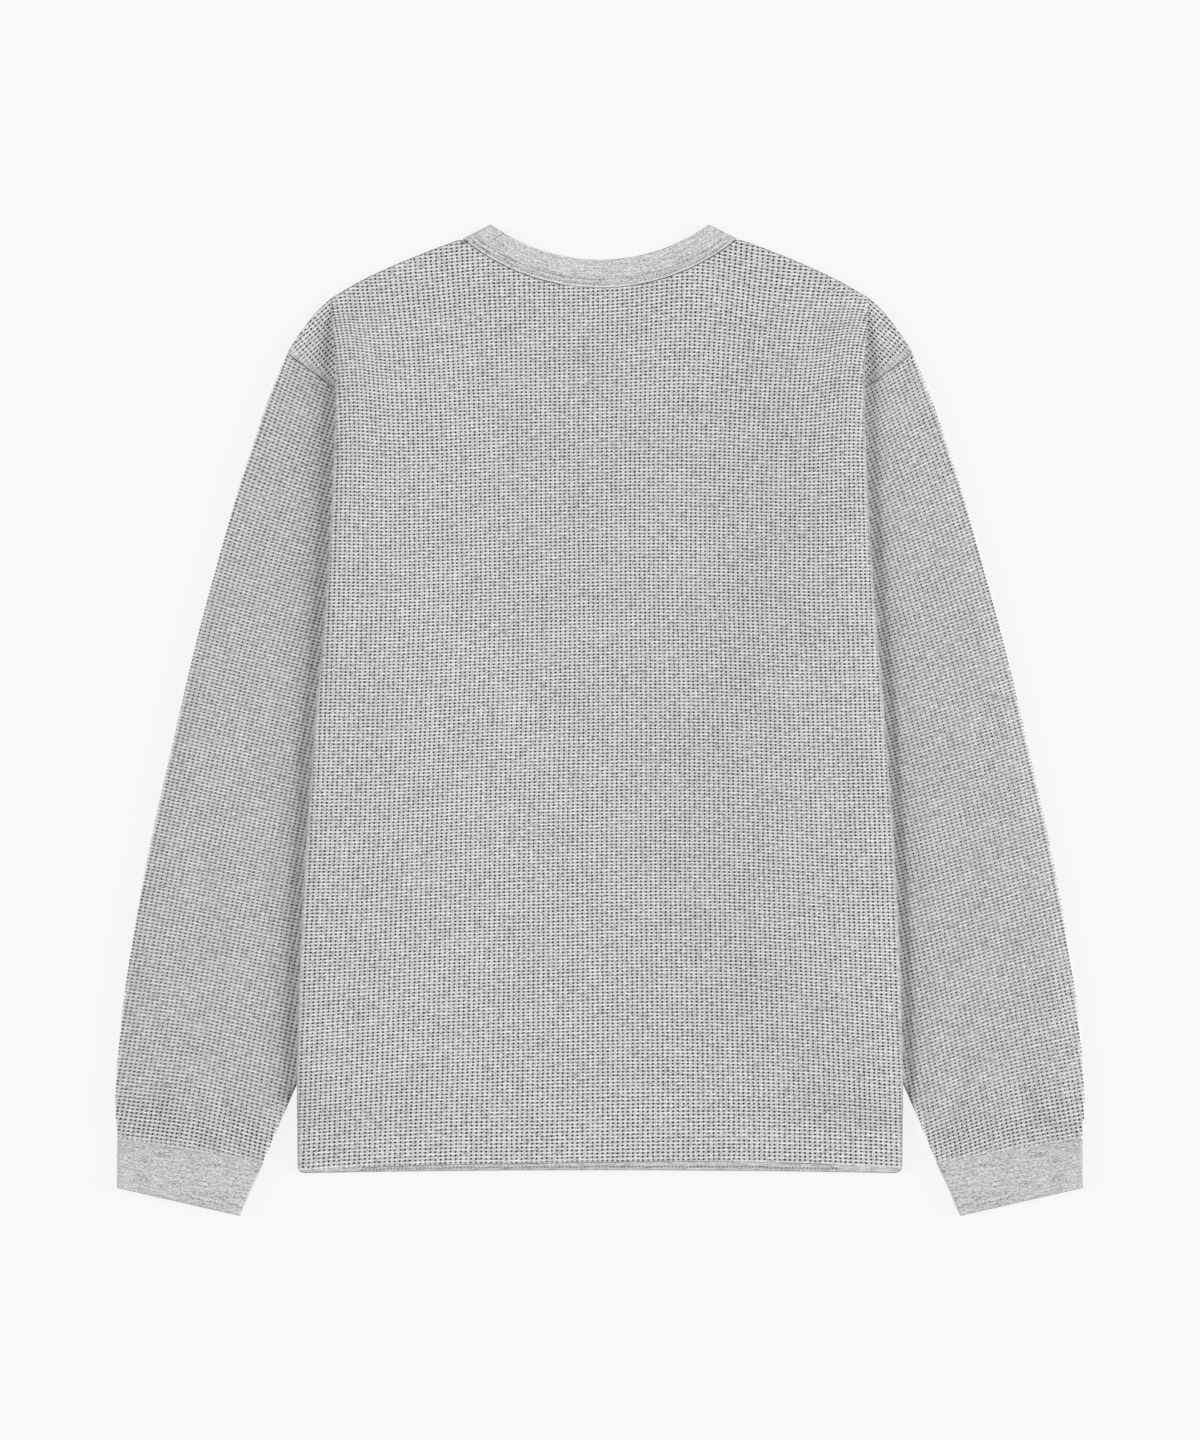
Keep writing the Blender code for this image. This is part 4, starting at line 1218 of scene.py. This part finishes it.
sewing = {
    "sides": 6,               # of a thread
    # the seams' dark threads are painted shade in their crevices
    "seamRadius": 0.00022,
    "armholes": {-1: 0.7, 1: 0.5},    # how strongly each shows
    "neckSeam": 0.00036,
    "neckThins": 0.022,       # within so far of the middle the neck's dark line is thin
    "thin": 0.45,             # by this much
    "thinsOver": 0.010,
    "seamStep": 0.0012,       # length of the small steps that a seam takes along the knit
    "seamSway": 0.00022,
    "swayLengths": (0.0017, 0.0031),
    "armholeSunk": 0.0001,    # how far each seam's line is below the cloth
    "neckSunk": 0.0002,
    "ridgeRadius": 0.00048,   # the cloth that stands up beside a seam
    "neckRidge": 0.015,       # place of the neck's ridge, as a share of the band's width
    "neckSeamOut": 0.00055,   # the seam's dark line outside the band's edge
    "neckThread": 0.00033,
    "cuffRadius": 0.000528,   # of the ridge at the cuff
    "cuffSunk": 0.000384,
    "cuffRidge": 0.0024,      # how far above the cuff its short ridges are
    "cuffRidgeLength": 0.0017,
    "cuffRidgeRadius": 0.000288,
    "radius": 0.00026,        # sewing thread
    "stitch": 0.0026,
    "pitch": 0.0029,
    "apart": 0.013,           # between neighbouring threads in the melange
    "roundThread": 0.0002,    # and for each radian round a thread
    "neckRows": (0.10, 0.28),
    "bandJoin": (0.0574, 0.34, 0.985),   # place along the band, and from and to shares of its width
    "joinStitch": 0.0013,
    "joinPitch": 0.001755,
    "joinPoints": 40,
    "hemStitch": 0.0017,
    "hemPitch": 0.0027,
    "hemUp": 0.0027,          # middle of the hem's stitches above its fold
    "hemReach": 0.176,
    "hemFollows": 0.3,        # how much of the turned hem's course these stitches follow
    "hemSlant": 0.25,
    "hemSway": (0.0003, 0.004, 1.0),
    "hemRowIn": 0.0001,       # the long row inside the turned hem's edge
    "hemRowRaised": 0.000078,
    "hemRaised": 0.000052,
}
pathSpans = {
    # start and end of a line of sewing as shares of its seam, and its points
    "armhole": (-0.02, 0.985, 40),
    "cuff": (0.016, 0.984, 60),
    "neckSeam": (0.006, 0.994, 160),
    "neckRidge": (0.012, 0.988, 120),
    "neckRow": (0.02, 0.98, 120),
    "hem": (-1.0, 1.0, 200),
}
stitchShape = {
    "at": (0.0, 0.12, 0.5, 0.88, 1.0),        # shares of its length
    "thick": (0.5, 0.9, 1.0, 0.9, 0.5),       # its radius there, against the thread's
    "dip": 1.6,                               # how deep its ends are, in radii
    "shortAt": (-0.5, -0.3, 0.0, 0.3, 0.5),   # the same of the hem's short stitches
    "shortThick": (0.4, 0.9, 1.1, 0.9, 0.4),
}


def layThread(mesh, paths, radii):
    # tubes along many paths at once: each ring is centre + r (cos a side + sin a up), ends closed
    count, stations = paths.shape[:2]
    along = unit(np.gradient(paths, axis=1))
    side = unit(np.cross(along, (0.0, 0.0, 1.0)))
    up = np.cross(side, along)
    sides = sewing["sides"]
    angle = np.linspace(0, 2 * math.pi, sides, endpoint=False)[:, None]
    ring = np.cos(angle) * side[:, :, None] + np.sin(angle) * up[:, :, None]
    points = paths[:, :, None] + np.asarray(radii)[None, :, None, None] * ring
    run = np.linalg.norm(np.diff(paths, axis=1, prepend=paths[:, :1]), axis=2)
    run = run.cumsum(axis=1) + sewing["apart"] * np.arange(count)[:, None]
    around = angle[:, 0] * sewing["roundThread"]
    knit = np.stack(np.broadcast_arrays(run[..., None], around), -1)
    numbers = mesh.add(points.reshape(-1, 3), knit.reshape(-1, 2), 1.0)
    numbers = numbers.reshape(count, stations, sides)
    low, high = numbers[:, :-1], numbers[:, 1:]
    quads = [low, high, np.roll(high, -1, 2), np.roll(low, -1, 2)]
    mesh.join(np.stack(quads, -1).reshape(-1, 4))
    mesh.join(numbers[:, 0])
    mesh.join(numbers[:, -1, ::-1])


def sewStitches(mesh, path, length, pitch, radius=sewing["radius"]):
    # short threads one after another, whose ends go down by radius * dip * |2 share - 1|^3
    starts = np.arange(0, runOf(path)[-1] - length, pitch)
    shares = np.array(stitchShape["at"])
    points = alongPath(path, starts[:, None] + shares * length)
    points[..., 2] -= radius * np.abs(2 * shares - 1) ** 3 * stitchShape["dip"]
    layThread(mesh, points, radius * np.array(stitchShape["thick"]))


def runSeam(mesh, path, radius, sway, thinWithin=None):
    # one thread along a seam, which goes from row to row in small steps: the sum of two sines
    # aside; where thinWithin is given, it is thinner so near the middle
    total = runOf(path)[-1]
    steps = int(total / sewing["seamStep"])
    run = np.linspace(0, total, steps)
    points = alongPath(path, run)[None]
    aside = outwardOf(points[0, :, :2], False)
    short, long = sewing["swayLengths"]
    swing = np.sin(run / short) + np.sin(run / long + 1.0)
    points[0, :, :2] += aside * (sway / 2 * swing)[:, None]
    thickness = np.ones(steps)
    if thinWithin is not None:
        beyond = (np.abs(points[0, :, 0]) - thinWithin) / sewing["thinsOver"]
        thickness = sewing["thin"] + (1 - sewing["thin"]) * smoothStep(beyond)
    layThread(mesh, points, radius * thickness)


def bandPath(share, fromSide, toSide, count):
    # a line along the band's upper face, or across it where the share of its width changes
    side, share = np.linspace(fromSide, toSide, count), np.broadcast_to(share, count)
    plan = neckPlace(side, share, 0.0, True, False)
    at, proud = columnsOf(bandProfile)
    z = 2 * cloth["ribWall"] + cloth["air"] / 2 + through(at, proud, share)
    return np.column_stack([plan, z])


def armholePath(sign):
    # beside the tongue's lower edge, half a gap outside it
    low, high = armholeEnds()
    line = low + np.linspace(*pathSpans["armhole"])[:, None] * (high - low)
    line = line + outwardOf(line, False) * cloth["seamGap"] / 2
    z = np.full(len(line), tongue["height"] - sewing["armholeSunk"])
    return np.column_stack([line[:, 0] * sign, line[:, 1], z])


def cuffPath(sign, above=0.0):
    # between the sleeve's lower end and the cuff, or above that on the sleeve
    rows = sleeveRows["cuffSeam"], cuffRows["seam"]
    outer = (np.array(rows[0][:2]) + rows[1][:2]) / 2
    inner = (np.array(rows[0][2:4]) + rows[1][2:4]) / 2
    line = outer + np.linspace(*pathSpans["cuff"])[:, None] * (inner - outer)
    x, y = line[:, 0] * sign, yOf(line[:, 1]) + above
    z = sleeveTop(x, y) - (0 if above else sewing["cuffSunk"])
    return np.column_stack([x, y, z])


def neckSeamPath():
    # between the band's seam edge and the back panel
    plan = neckPlace(np.linspace(*pathSpans["neckSeam"]), 0.0, 0.0, True, False)
    away = plan + outwardOf(plan, False) * sewing["neckSeamOut"]
    return np.column_stack([away, backTop(*away.T) - sewing["neckSunk"]])


def hemPath(up, follows):
    # along the hem so far above its fold, following a share of the turned hem's course
    x = np.linspace(*pathSpans["hem"]) * sewing["hemReach"]
    y = hemAt(x) + up - follows * body["hemFollows"] * rowDrop(x, hemAt(x))
    return np.column_stack([x, y, backTop(x, y) + sewing["hemRowRaised"]])


def makeSeamShadeAndThreads(material):
    # dark threads laid in the armhole and neck seams as painted shade of their crevices, and the
    # stitches over the neck band's join
    mesh = Mesh()
    for sign in (-1, 1):
        radius = sewing["seamRadius"] * sewing["armholes"][sign]
        runSeam(mesh, armholePath(sign), radius, sewing["seamSway"])
    neck, sway = neckSeamPath(), sewing["seamSway"] / 2
    runSeam(mesh, neck, sewing["neckSeam"], sway, sewing["neckThins"])
    side, low, high = sewing["bandJoin"]
    count = sewing["joinPoints"]
    join = bandPath(np.linspace(high, low, count), side, side, count)
    sewStitches(mesh, join, sewing["joinStitch"], sewing["joinPitch"])
    return mesh.make("seamShadeAndThreads", material)


def makeSeamRidges(material):
    # the cloth that stands up along the neck seam, and in short ridges above each cuff
    mesh = Mesh()
    neck = bandPath(sewing["neckRidge"], *pathSpans["neckRidge"])
    runSeam(mesh, neck, sewing["ridgeRadius"], sewing["seamSway"] / 2)
    for sign in (-1, 1):
        high, length = cuffPath(sign, sewing["cuffRidge"]), sewing["cuffRidgeLength"]
        sewStitches(mesh, high, length, cloth["wale"], sewing["cuffRidgeRadius"])
    return mesh.make("seamRidges", material)


def makeCuffRidges(material):
    # the cloth that stands up between each sleeve and its cuff
    mesh = Mesh()
    for sign in (-1, 1):
        runSeam(mesh, cuffPath(sign), sewing["cuffRadius"], sewing["seamSway"])
    return mesh.make("cuffRidges", material)


def makeStitching(material):
    # the two rows of stitches along the neck band
    mesh = Mesh()
    for share in sewing["neckRows"]:
        row = bandPath(share, *pathSpans["neckRow"])
        sewStitches(mesh, row, sewing["stitch"], sewing["pitch"], sewing["neckThread"])
    return mesh.make("stitching", material)


def makeHemStitching(material):
    # short stitches across the hem, side by side, and a long one along its upper edge
    mesh = Mesh()
    path = hemPath(sewing["hemUp"], sewing["hemFollows"])
    run = np.arange(0, 2 * sewing["hemReach"], sewing["hemPitch"]) - sewing["hemReach"]
    middle = np.stack([np.interp(run, path[:, 0], path[:, k]) for k in range(3)], 1)
    middle[:, 1] += wobble(run, 0 * run, *sewing["hemSway"])
    shares = np.array(stitchShape["shortAt"])
    heading = np.array([sewing["hemSlant"], 1.0, 0.0])
    points = middle[:, None] + shares[:, None] * heading * sewing["hemStitch"]
    points[..., 2] = backTop(points[..., 0], points[..., 1]) + sewing["hemRaised"]
    layThread(mesh, points, sewing["radius"] * np.array(stitchShape["shortThick"]))
    upper = hemPath(body["hemTurned"] - sewing["hemRowIn"], 1.0)
    sewStitches(mesh, upper, sewing["stitch"], sewing["pitch"])
    return mesh.make("hemStitching", material)


class Wiring:
    # short ways to add nodes to one tree
    def __init__(self, tree):
        # the tree's nodes and links
        self.nodes, self.links = tree.nodes, tree.links

    def put(self, value, socket):
        # a link from another node, or a plain value
        if isinstance(value, bpy.types.NodeSocket):
            self.links.new(value, socket)
        else:
            socket.default_value = value

    def give(self, values, sockets):
        # the same for each named socket
        for title, value in values.items():
            self.put(value, sockets[title])

    def add(self, kind, *values):
        # a node, with values for its first inputs
        node = self.nodes.new("ShaderNode" + kind)
        for value, socket in zip(values, node.inputs):
            self.put(value, socket)
        return node

    def math(self, operation, *values, clamp=False):
        # the result of a sum with up to three values, kept between 0 and 1 where asked
        node = self.add("Math", *values)
        node.operation, node.use_clamp = operation, clamp
        return node.outputs[0]

    def times(self, first, *others):
        # all of them multiplied
        for value in others:
            first = self.math("MULTIPLY", first, value)
        return first

    def line(self, value, slope, start, clamp=False):
        # start + slope * value
        return self.math("MULTIPLY_ADD", value, slope, start, clamp=clamp)

    def offMiddle(self, value):
        # how far a value is from the middle between two whole numbers
        return self.math("ABSOLUTE", self.math("SUBTRACT", self.math("FRACT", value), 0.5))

    def step(self, value, low, high, toLow=0.0, toHigh=1.0):
        # an S-curve from toLow at low to toHigh at high
        node = self.add("MapRange", value, low, high, toLow, toHigh)
        node.interpolation_type = "SMOOTHSTEP"
        return node.outputs[0]

    def scaled(self, vector, x, y):
        # the vector with its x and y multiplied
        node = self.add("VectorMath", vector, (x, y, 1.0))
        node.operation = "MULTIPLY"
        return node.outputs[0]

    def split(self, vector):
        # the x and y of a vector
        return self.add("SeparateXYZ", vector).outputs[:2]

    def noise(self, vector, x, y, detail, rough):
        # smooth noise over the vector, whose x and y are scaled first
        node = self.add("TexNoise", self.scaled(vector, x, y))
        self.give({"Scale": 1.0, "Detail": detail, "Roughness": rough}, node.inputs)
        return node.outputs["Fac"]

    def mix(self, factor, a, b):
        # colour a where the factor is 0, b where it is 1
        node = self.add("Mix", factor)
        node.data_type = "RGBA"
        self.put(a, node.inputs[6])
        self.put(b, node.inputs[7])
        return node.outputs[2]

    def attribute(self, name):
        # a value that each point of the mesh carries
        node = self.add("Attribute")
        node.attribute_name = name
        return node.outputs["Fac"]

    def knit(self):
        # the place in the knit, counted in cells, or in metres on a rib or thread
        node = self.add("UVMap")
        node.uv_map = "knit"
        return node.outputs[0]

    def group(self, group, values):
        # a group placed with its own values; gives its outputs
        node = self.add("Group")
        node.node_tree = group
        self.give(values, node.inputs)
        return node.outputs

    def turned(self, most):
        # painted shade at turned edges: twice as much as the cloth turns down, up to most
        return self.math("MINIMUM", self.times(self.attribute("turned"), 2.0), most)

    def bump(self, height, distance, strength):
        # the normal, bent by a height map
        node = self.add("Bump")
        self.give({"Distance": distance, "Strength": strength, "Height": height}, node.inputs)
        return node.outputs[0]


def newGroup(name, inputs, outputs):
    # an empty shader group with these sockets: their kinds, or numbers for their usual values
    group = bpy.data.node_groups.new(name, "ShaderNodeTree")
    for title, kind in inputs.items():
        number = not isinstance(kind, str)
        kindName = "NodeSocket" + ("Float" if number else kind)
        socket = group.interface.new_socket(name=title, in_out="INPUT", socket_type=kindName)
        if number:
            socket.default_value = kind
    for title, kind in outputs.items():
        kindName = "NodeSocket" + kind
        group.interface.new_socket(name=title, in_out="OUTPUT", socket_type=kindName)
    given, result = group.nodes.new("NodeGroupInput"), group.nodes.new("NodeGroupOutput")
    return group, given.outputs, result.inputs


melangeTone = 0.62   # between the dark grey and the light one
melangeLayers = {
    # stretch along a course and up, detail, roughness, strength, the input that scales it
    "streaks": (130.0, 560.0, 3.0, 0.65, 2.3, "Streaks"),
    "flecks": (700.0, 1150.0, 2.0, 0.65, 2.0, "Flecks"),
    "grain": (1500.0, 2000.0, 1.0, 0.5, 1.6, None),
    "drift": (24.0, 45.0, 2.0, 0.5, 0.35, "Streaks"),
}


def makeMelangeGroup():
    # fibres of light and dark grey: every layer adds strength * (noise - 0.5) to the tone, by which
    # the two greys are mixed
    group, given, result = newGroup(
        "melange",
        {"Place": "Vector", "Light": "Color", "Dark": "Color", "Streaks": 1.0, "Flecks": 1.0},
        {"Color": "Color", "Fleck": "Float"})
    w = Wiring(group)
    tone, noises = melangeTone, {}
    for layer, (along, up, detail, rough, strength, scaledBy) in melangeLayers.items():
        noises[layer] = w.noise(given["Place"], along, up, detail, rough)
        swing = w.math("SUBTRACT", noises[layer], 0.5)
        if scaledBy:
            swing = w.times(swing, given[scaledBy])
        tone = w.line(swing, strength, tone)
    colour = w.mix(tone, given["Dark"], given["Light"])
    w.give({"Color": colour, "Fleck": noises["flecks"]}, result)
    return group


waffleLook = {
    "astray": 0.12,           # how far a pit may lie out of place, as a share of its cell
    "ragged": 1.3,            # how uneven its rim is
    "rim": (0.4, 1.45),       # it ends between these distances, against its own size
    "chance": (0.3, 0.36),    # its depth: how much is left to chance, and the least
    "patches": 0.8,           # how much its depth varies from patch to patch
    "furrow": (0.02, 0.26),   # from the middle of a row of pits
    "furrowHeight": -0.22,    # against a pit's depth
    "rib": (0.26, 0.48),
    "ribWave": 0.9,           # where its wave is against the pits
    "dashes": (0.36, 0.64, 0.3, 1.2),     # noise from and to, rib there
    "slub": (0.20, 0.42),     # a thicker row
    "slubChance": (0.60, 0.74),
    # the noises: stretch along a course and up, detail, roughness
    "raggedNoise": (2.3, 2.1, 2.0, 0.6),
    "patchNoise": (0.12, 0.16, 2.0, 0.5),
    "dashNoise": (0.9, 1.3, 1.0, 0.5),
    "slubNoise": (0.24, 0.83, 1.0, 0.5),
}


def makeWaffleGroup():
    # one pit in each cell of the knit, a little out of place and unevenly deep, a furrow along
    # each row of pits, and a raised rib between two rows, in dashes, that dips below each pit
    group, given, result = newGroup(
        "waffle",
        {"Knit": "Vector", "Depth": 1.0, "Pit Width": 0.23, "Pit Height": 0.27, "Sway": 0.10},
        {"Pit": "Float", "Furrow": "Float", "Rib": "Float", "Slub": "Float", "Height": "Float"})
    w, look = Wiring(group), waffleLook
    knit, depth = given["Knit"], given["Depth"]
    u, v = w.split(knit)
    cell = w.add("CombineXYZ", w.math("FLOOR", u), w.math("FLOOR", v)).outputs[0]
    chance = w.add("TexWhiteNoise")
    chance.noise_dimensions = "2D"
    w.put(cell, chance.inputs["Vector"])
    squares = []
    chances = w.split(chance.outputs["Color"])
    for at, moved, size in zip((u, v), chances, ("Pit Width", "Pit Height")):
        off = w.line(moved, look["astray"], -0.5 - look["astray"] / 2)
        part = w.math("DIVIDE", w.math("ADD", w.math("FRACT", at), off), given[size])
        squares.append(w.times(part, part))
    ragged = w.noise(knit, *look["raggedNoise"])
    far = w.math("SQRT", w.math("ADD", *squares))
    far = w.math("ADD", far, w.line(ragged, look["ragged"], -look["ragged"] / 2))
    patchy = w.noise(knit, *look["patchNoise"])
    uneven = w.line(chance.outputs["Value"], *look["chance"])
    uneven = w.line(patchy, look["patches"], uneven, clamp=True)
    pit = w.times(w.step(far, *look["rim"], 1.0, 0.0), uneven, depth)
    furrow = w.times(w.step(w.offMiddle(v), *look["furrow"], 1.0, 0.0), depth)
    wave = w.math("SINE", w.line(u, 2 * math.pi, look["ribWave"]))
    between = w.offMiddle(w.line(wave, given["Sway"], w.math("FRACT", v)))
    dashes = w.noise(knit, *look["dashNoise"])
    rib = w.times(w.step(between, *look["rib"]), w.step(dashes, *look["dashes"]), depth)
    thick = w.noise(cell, *look["slubNoise"])
    slub = w.times(w.step(thick, *look["slubChance"]), w.step(between, *look["slub"]))
    height = w.line(furrow, look["furrowHeight"], w.line(pit, -1.0, 1.0))
    w.give({"Pit": pit, "Furrow": furrow, "Rib": rib, "Slub": slub, "Height": height}, result)
    return group


waffleFinish = {
    "light": (0.715, 0.72, 0.705, 1.0),
    "dark": (0.27, 0.275, 0.265, 1.0),
    # the dark colour that is mixed in as painted shade at pits, furrows and turned edges, and where
    # pits are shallow
    "pit": (0.02, 0.021, 0.02, 1.0),
    # painted highlight on the raised ribs and slubs, which the yarn's flecks break into dashes on the
    # ribs
    "rib": (0.88, 0.885, 0.87, 1.0),
    "shader": {"Roughness": 0.92, "Sheen Weight": 0.15, "Sheen Roughness": 0.6,
               "Specular IOR Level": 0.2},
    "pitShade": 0.95,         # painted shade in the pits and the furrows: how dark each gets
    "furrowShade": 0.07,
    "plainShade": 0.10,       # how much darker the cloth is made where its pits are shallow or missing
    "turnPaintedShade": 0.42,        # painted shade where the cloth turns down at an edge
    "slubShare": 0.3,         # how light a slub gets
    "fleckHeight": 0.35,      # against a pit's depth
    "bump": (0.0007, 0.8),    # depth, strength
}
sleeveFinish = dict(waffleFinish, furrowShade=0.14, turnPaintedShade=0.0)
waffleFinishes = {
    # painted shade: the sleeves' copies of the waffle are darker than the body's, the left one most
    "waffleKnit": waffleFinish,
    "leftWaffleKnit": dict(sleeveFinish, light=(0.61, 0.615, 0.6, 1.0)),
    "rightWaffleKnit": dict(sleeveFinish, light=(0.65, 0.655, 0.64, 1.0)),
}
yarnFinish = {
    "shader": dict(waffleFinish["shader"], Roughness=0.9),
    "streaks": 0.8,
    "flecks": 1.45,
    "fibres": (0.6, 1.1),     # how fine the fibres are along and across a course
    # painted shade where the rib or thread turns down
    "turnPaintedShade": 0.45,
    "ribPitch": 0.0011,
    "ribHeight": 0.08,        # against a fleck's
    "bump": (0.0003, 0.7),
}
yarnTones = {
    # the light grey and the dark one of each rib and thread
    "bandRib": ((0.72, 0.73, 0.715, 1.0), (0.22, 0.225, 0.217, 1.0)),
    "cuffRib": ((0.665, 0.675, 0.66, 1.0), (0.2, 0.205, 0.197, 1.0)),
    # painted highlight: the ridges beside the neck and cuff seams are much lighter than their rib, for
    # the light they catch
    "seamRidge": ((0.93, 0.94, 0.925, 1.0), (0.62, 0.63, 0.615, 1.0)),
    "cuffRidge": ((0.84, 0.85, 0.835, 1.0), (0.4, 0.405, 0.395, 1.0)),
    # dark thread: partly its own grey, partly painted shade of the grooves the stitching lies in
    "sewingThreadAndShade": ((0.2, 0.203, 0.197, 1.0), (0.09, 0.092, 0.089, 1.0)),
    # painted shade laid in the seams' crevices, and the band join's stitches
    "seamShadeAndThread": ((0.09, 0.092, 0.09, 1.0), (0.04, 0.041, 0.04, 1.0)),
    # painted shade: dark stitches for the shadows between the hem's stitches and the dark line along
    # its upper edge
    "hemStitchShade": ((0.2, 0.203, 0.198, 1.0), (0.08, 0.081, 0.079, 1.0)),
}


def newMaterial(name, values):
    # a material whose Principled shader has these values; gives it, its wiring and its inputs
    material = bpy.data.materials.new(name)
    material.use_nodes = True
    inputs = material.node_tree.nodes["Principled BSDF"].inputs
    wiring = Wiring(material.node_tree)
    wiring.give(values, inputs)
    return material, wiring, inputs


def makeWaffleMaterial(name, melange, waffle, finish):
    # melange yarn, with painted highlight on the raised ribs and slubs, painted shade in the furrows,
    # pits and turned edges, and darker where its pits are shallow
    material, w, inputs = newMaterial(name, finish["shader"])
    knit, depth = w.knit(), w.attribute("waffleDepth")
    pattern = w.group(waffle, {"Knit": knit, "Depth": depth})
    place = w.scaled(knit, cloth["wale"], cloth["course"])
    yarn = w.group(melange, {"Place": place, "Light": finish["light"], "Dark": finish["dark"]})
    raised = w.times(pattern["Rib"], yarn["Fleck"])
    raised = w.line(pattern["Slub"], finish["slubShare"], raised, clamp=True)
    colour = w.mix(raised, yarn["Color"], finish["rib"])
    plain = w.line(depth, -finish["plainShade"], finish["plainShade"], clamp=True)
    shade = w.line(pattern["Furrow"], finish["furrowShade"], plain)
    shade = w.math("MAXIMUM", shade, w.times(pattern["Pit"], finish["pitShade"]))
    shade = w.math("ADD", shade, w.turned(finish["turnPaintedShade"]), clamp=True)
    height = w.line(yarn["Fleck"], finish["fleckHeight"], pattern["Height"])
    w.give({"Base Color": w.mix(shade, colour, finish["pit"]),
            "Normal": w.bump(height, *finish["bump"])}, inputs)
    return material


def makeYarnMaterial(name, melange, light, dark):
    # fine rib or thread: melange with painted shade where it turns down, and shallow ribs across its
    # width, sin(2 pi u / pitch) along it
    finish = yarnFinish
    material, w, inputs = newMaterial(name, finish["shader"])
    knit = w.knit()
    yarn = w.group(melange, {
        "Place": w.scaled(knit, *finish["fibres"]), "Light": light, "Dark": dark,
        "Streaks": finish["streaks"], "Flecks": finish["flecks"]})
    ridge = w.math("SINE", w.times(w.split(knit)[0], 2 * math.pi / finish["ribPitch"]))
    height = w.line(ridge, finish["ribHeight"], yarn["Fleck"])
    w.give({"Base Color": w.mix(w.turned(finish["turnPaintedShade"]), yarn["Color"], dark),
            "Normal": w.bump(height, *finish["bump"])}, inputs)
    return material


studio = {
    "floorSize": 7.0,
    "floorBelow": 0.0004,     # keeps the floor clear of the cloth that lies on it
    "floorTone": 0.07,
    "floorGlow": 0.865,
    "world": 0.16,
    "cameraHeight": 2.9635,
    "lens": 100.0,            # millimetres
    "sensor": 36.0,
}
softboxes = {
    # heading in degrees from +X, height in degrees, softness in degrees, watts for a square metre
    "left": (177.0, 18.5, 18.0, 4.15),
    "right": (4.0, 14.5, 24.0, 5.6),
    "head": (84.0, 58.0, 40.0, 0.35),
}


def makeFloor():
    # a wide plain square that glows faintly, so that it stays pale between the garment's shadows
    half, level = studio["floorSize"] / 2, -studio["floorBelow"]
    mesh = bpy.data.meshes.new("floor")
    corners = [(-half, -half, level), (half, -half, level), (half, half, level), (-half, half, level)]
    mesh.from_pydata(corners, [], [(0, 1, 2, 3)])
    tone, glow = studio["floorTone"], studio["floorGlow"]
    mesh.materials.append(newMaterial("paleFloor", {
        "Base Color": (tone, tone, tone, 1.0), "Roughness": 0.9, "Specular IOR Level": 0.0,
        "Emission Color": (glow, glow, glow, 1.0), "Emission Strength": 1.0})[0])
    floor = addObject("floor", mesh)


def makeLights():
    # an even sky and the softboxes, each far off in its own direction
    world = bpy.data.worlds.new("studio")
    world.use_nodes = True
    background = world.node_tree.nodes["Background"]
    background.inputs["Color"].default_value = (1.0, 1.0, 1.0, 1.0)
    background.inputs["Strength"].default_value = studio["world"]
    bpy.context.scene.world = world
    for name, (heading, height, softness, power) in softboxes.items():
        lamp = bpy.data.lights.new(name, "SUN")
        lamp.energy, lamp.angle = power, math.radians(softness)
        holder = addObject(name, lamp)
        holder.rotation_euler = (0.0, math.radians(90.0 - height), math.radians(heading))


def makeCamera():
    # straight above the middle, looking down
    lens = bpy.data.cameras.new("camera")
    lens.lens, lens.sensor_width = studio["lens"], studio["sensor"]
    holder = addObject("camera", lens)
    holder.location = (0.0, 0.0, studio["cameraHeight"])
    bpy.context.scene.camera = holder
    bpy.context.scene.view_settings.view_transform = "Standard"


def planArea(outline):
    # half the sum of cross products round a closed line
    x, y = outline.T
    return 0.5 * abs(float(np.sum(x * np.roll(y, -1) - y * np.roll(x, -1))))


makeCamera()
makeLights()
makeFloor()
print("studio ready")

melange = makeMelangeGroup()
waffle = makeWaffleGroup()
materials = {}
for name, finish in waffleFinishes.items():
    materials[name] = makeWaffleMaterial(name, melange, waffle, finish)
for name, (light, dark) in yarnTones.items():
    materials[name] = makeYarnMaterial(name, melange, light, dark)
print("materials ready")

frontPanel = makeFront(materials["waffleKnit"])
backPanel = makeBack(materials["waffleKnit"])
neckBand = makeNeckBand(materials["bandRib"])
sleeveParts = {}
for side, sign in (("left", -1), ("right", 1)):
    sleeveParts[side] = (makeSleeve(side + "Sleeve", sign, materials[side + "WaffleKnit"]),
                         makeCuff(side + "Cuff", sign, materials["cuffRib"]))

seamShadeAndThreads = makeSeamShadeAndThreads(materials["seamShadeAndThread"])
# the ridges' light tones are painted highlight
seamRidges = makeSeamRidges(materials["seamRidge"])
cuffRidges = makeCuffRidges(materials["cuffRidge"])
stitching = makeStitching(materials["sewingThreadAndShade"])
hemStitching = makeHemStitching(materials["hemStitchShade"])

backArea = planArea(backOutline()[0])
backArea += 2 * planArea(tongueOutline())
sleeveArea = 2 * planArea(sleeveOutline(1)[0])

for piece, node, slot in (
    (frontPanel, "front_panel", "waffle_knit"),
    (backPanel, "back_panel", "waffle_knit"),
    (neckBand, "neck_band", "rib_knit"),
    (sleeveParts["left"][0], "left_sleeve", "waffle_knit"),
    (sleeveParts["right"][0], "right_sleeve", "waffle_knit"),
    (sleeveParts["left"][1], "left_cuff", "rib_knit"),
    (sleeveParts["right"][1], "right_cuff", "rib_knit"),
):
    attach(piece, "root")
    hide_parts(node)
for piece, slot in ((seamShadeAndThreads, "waffle_knit"), (hemStitching, "waffle_knit"),
                    (seamRidges, "rib_knit"), (cuffRidges, "rib_knit"), (stitching, "rib_knit")):
    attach(piece, "root")
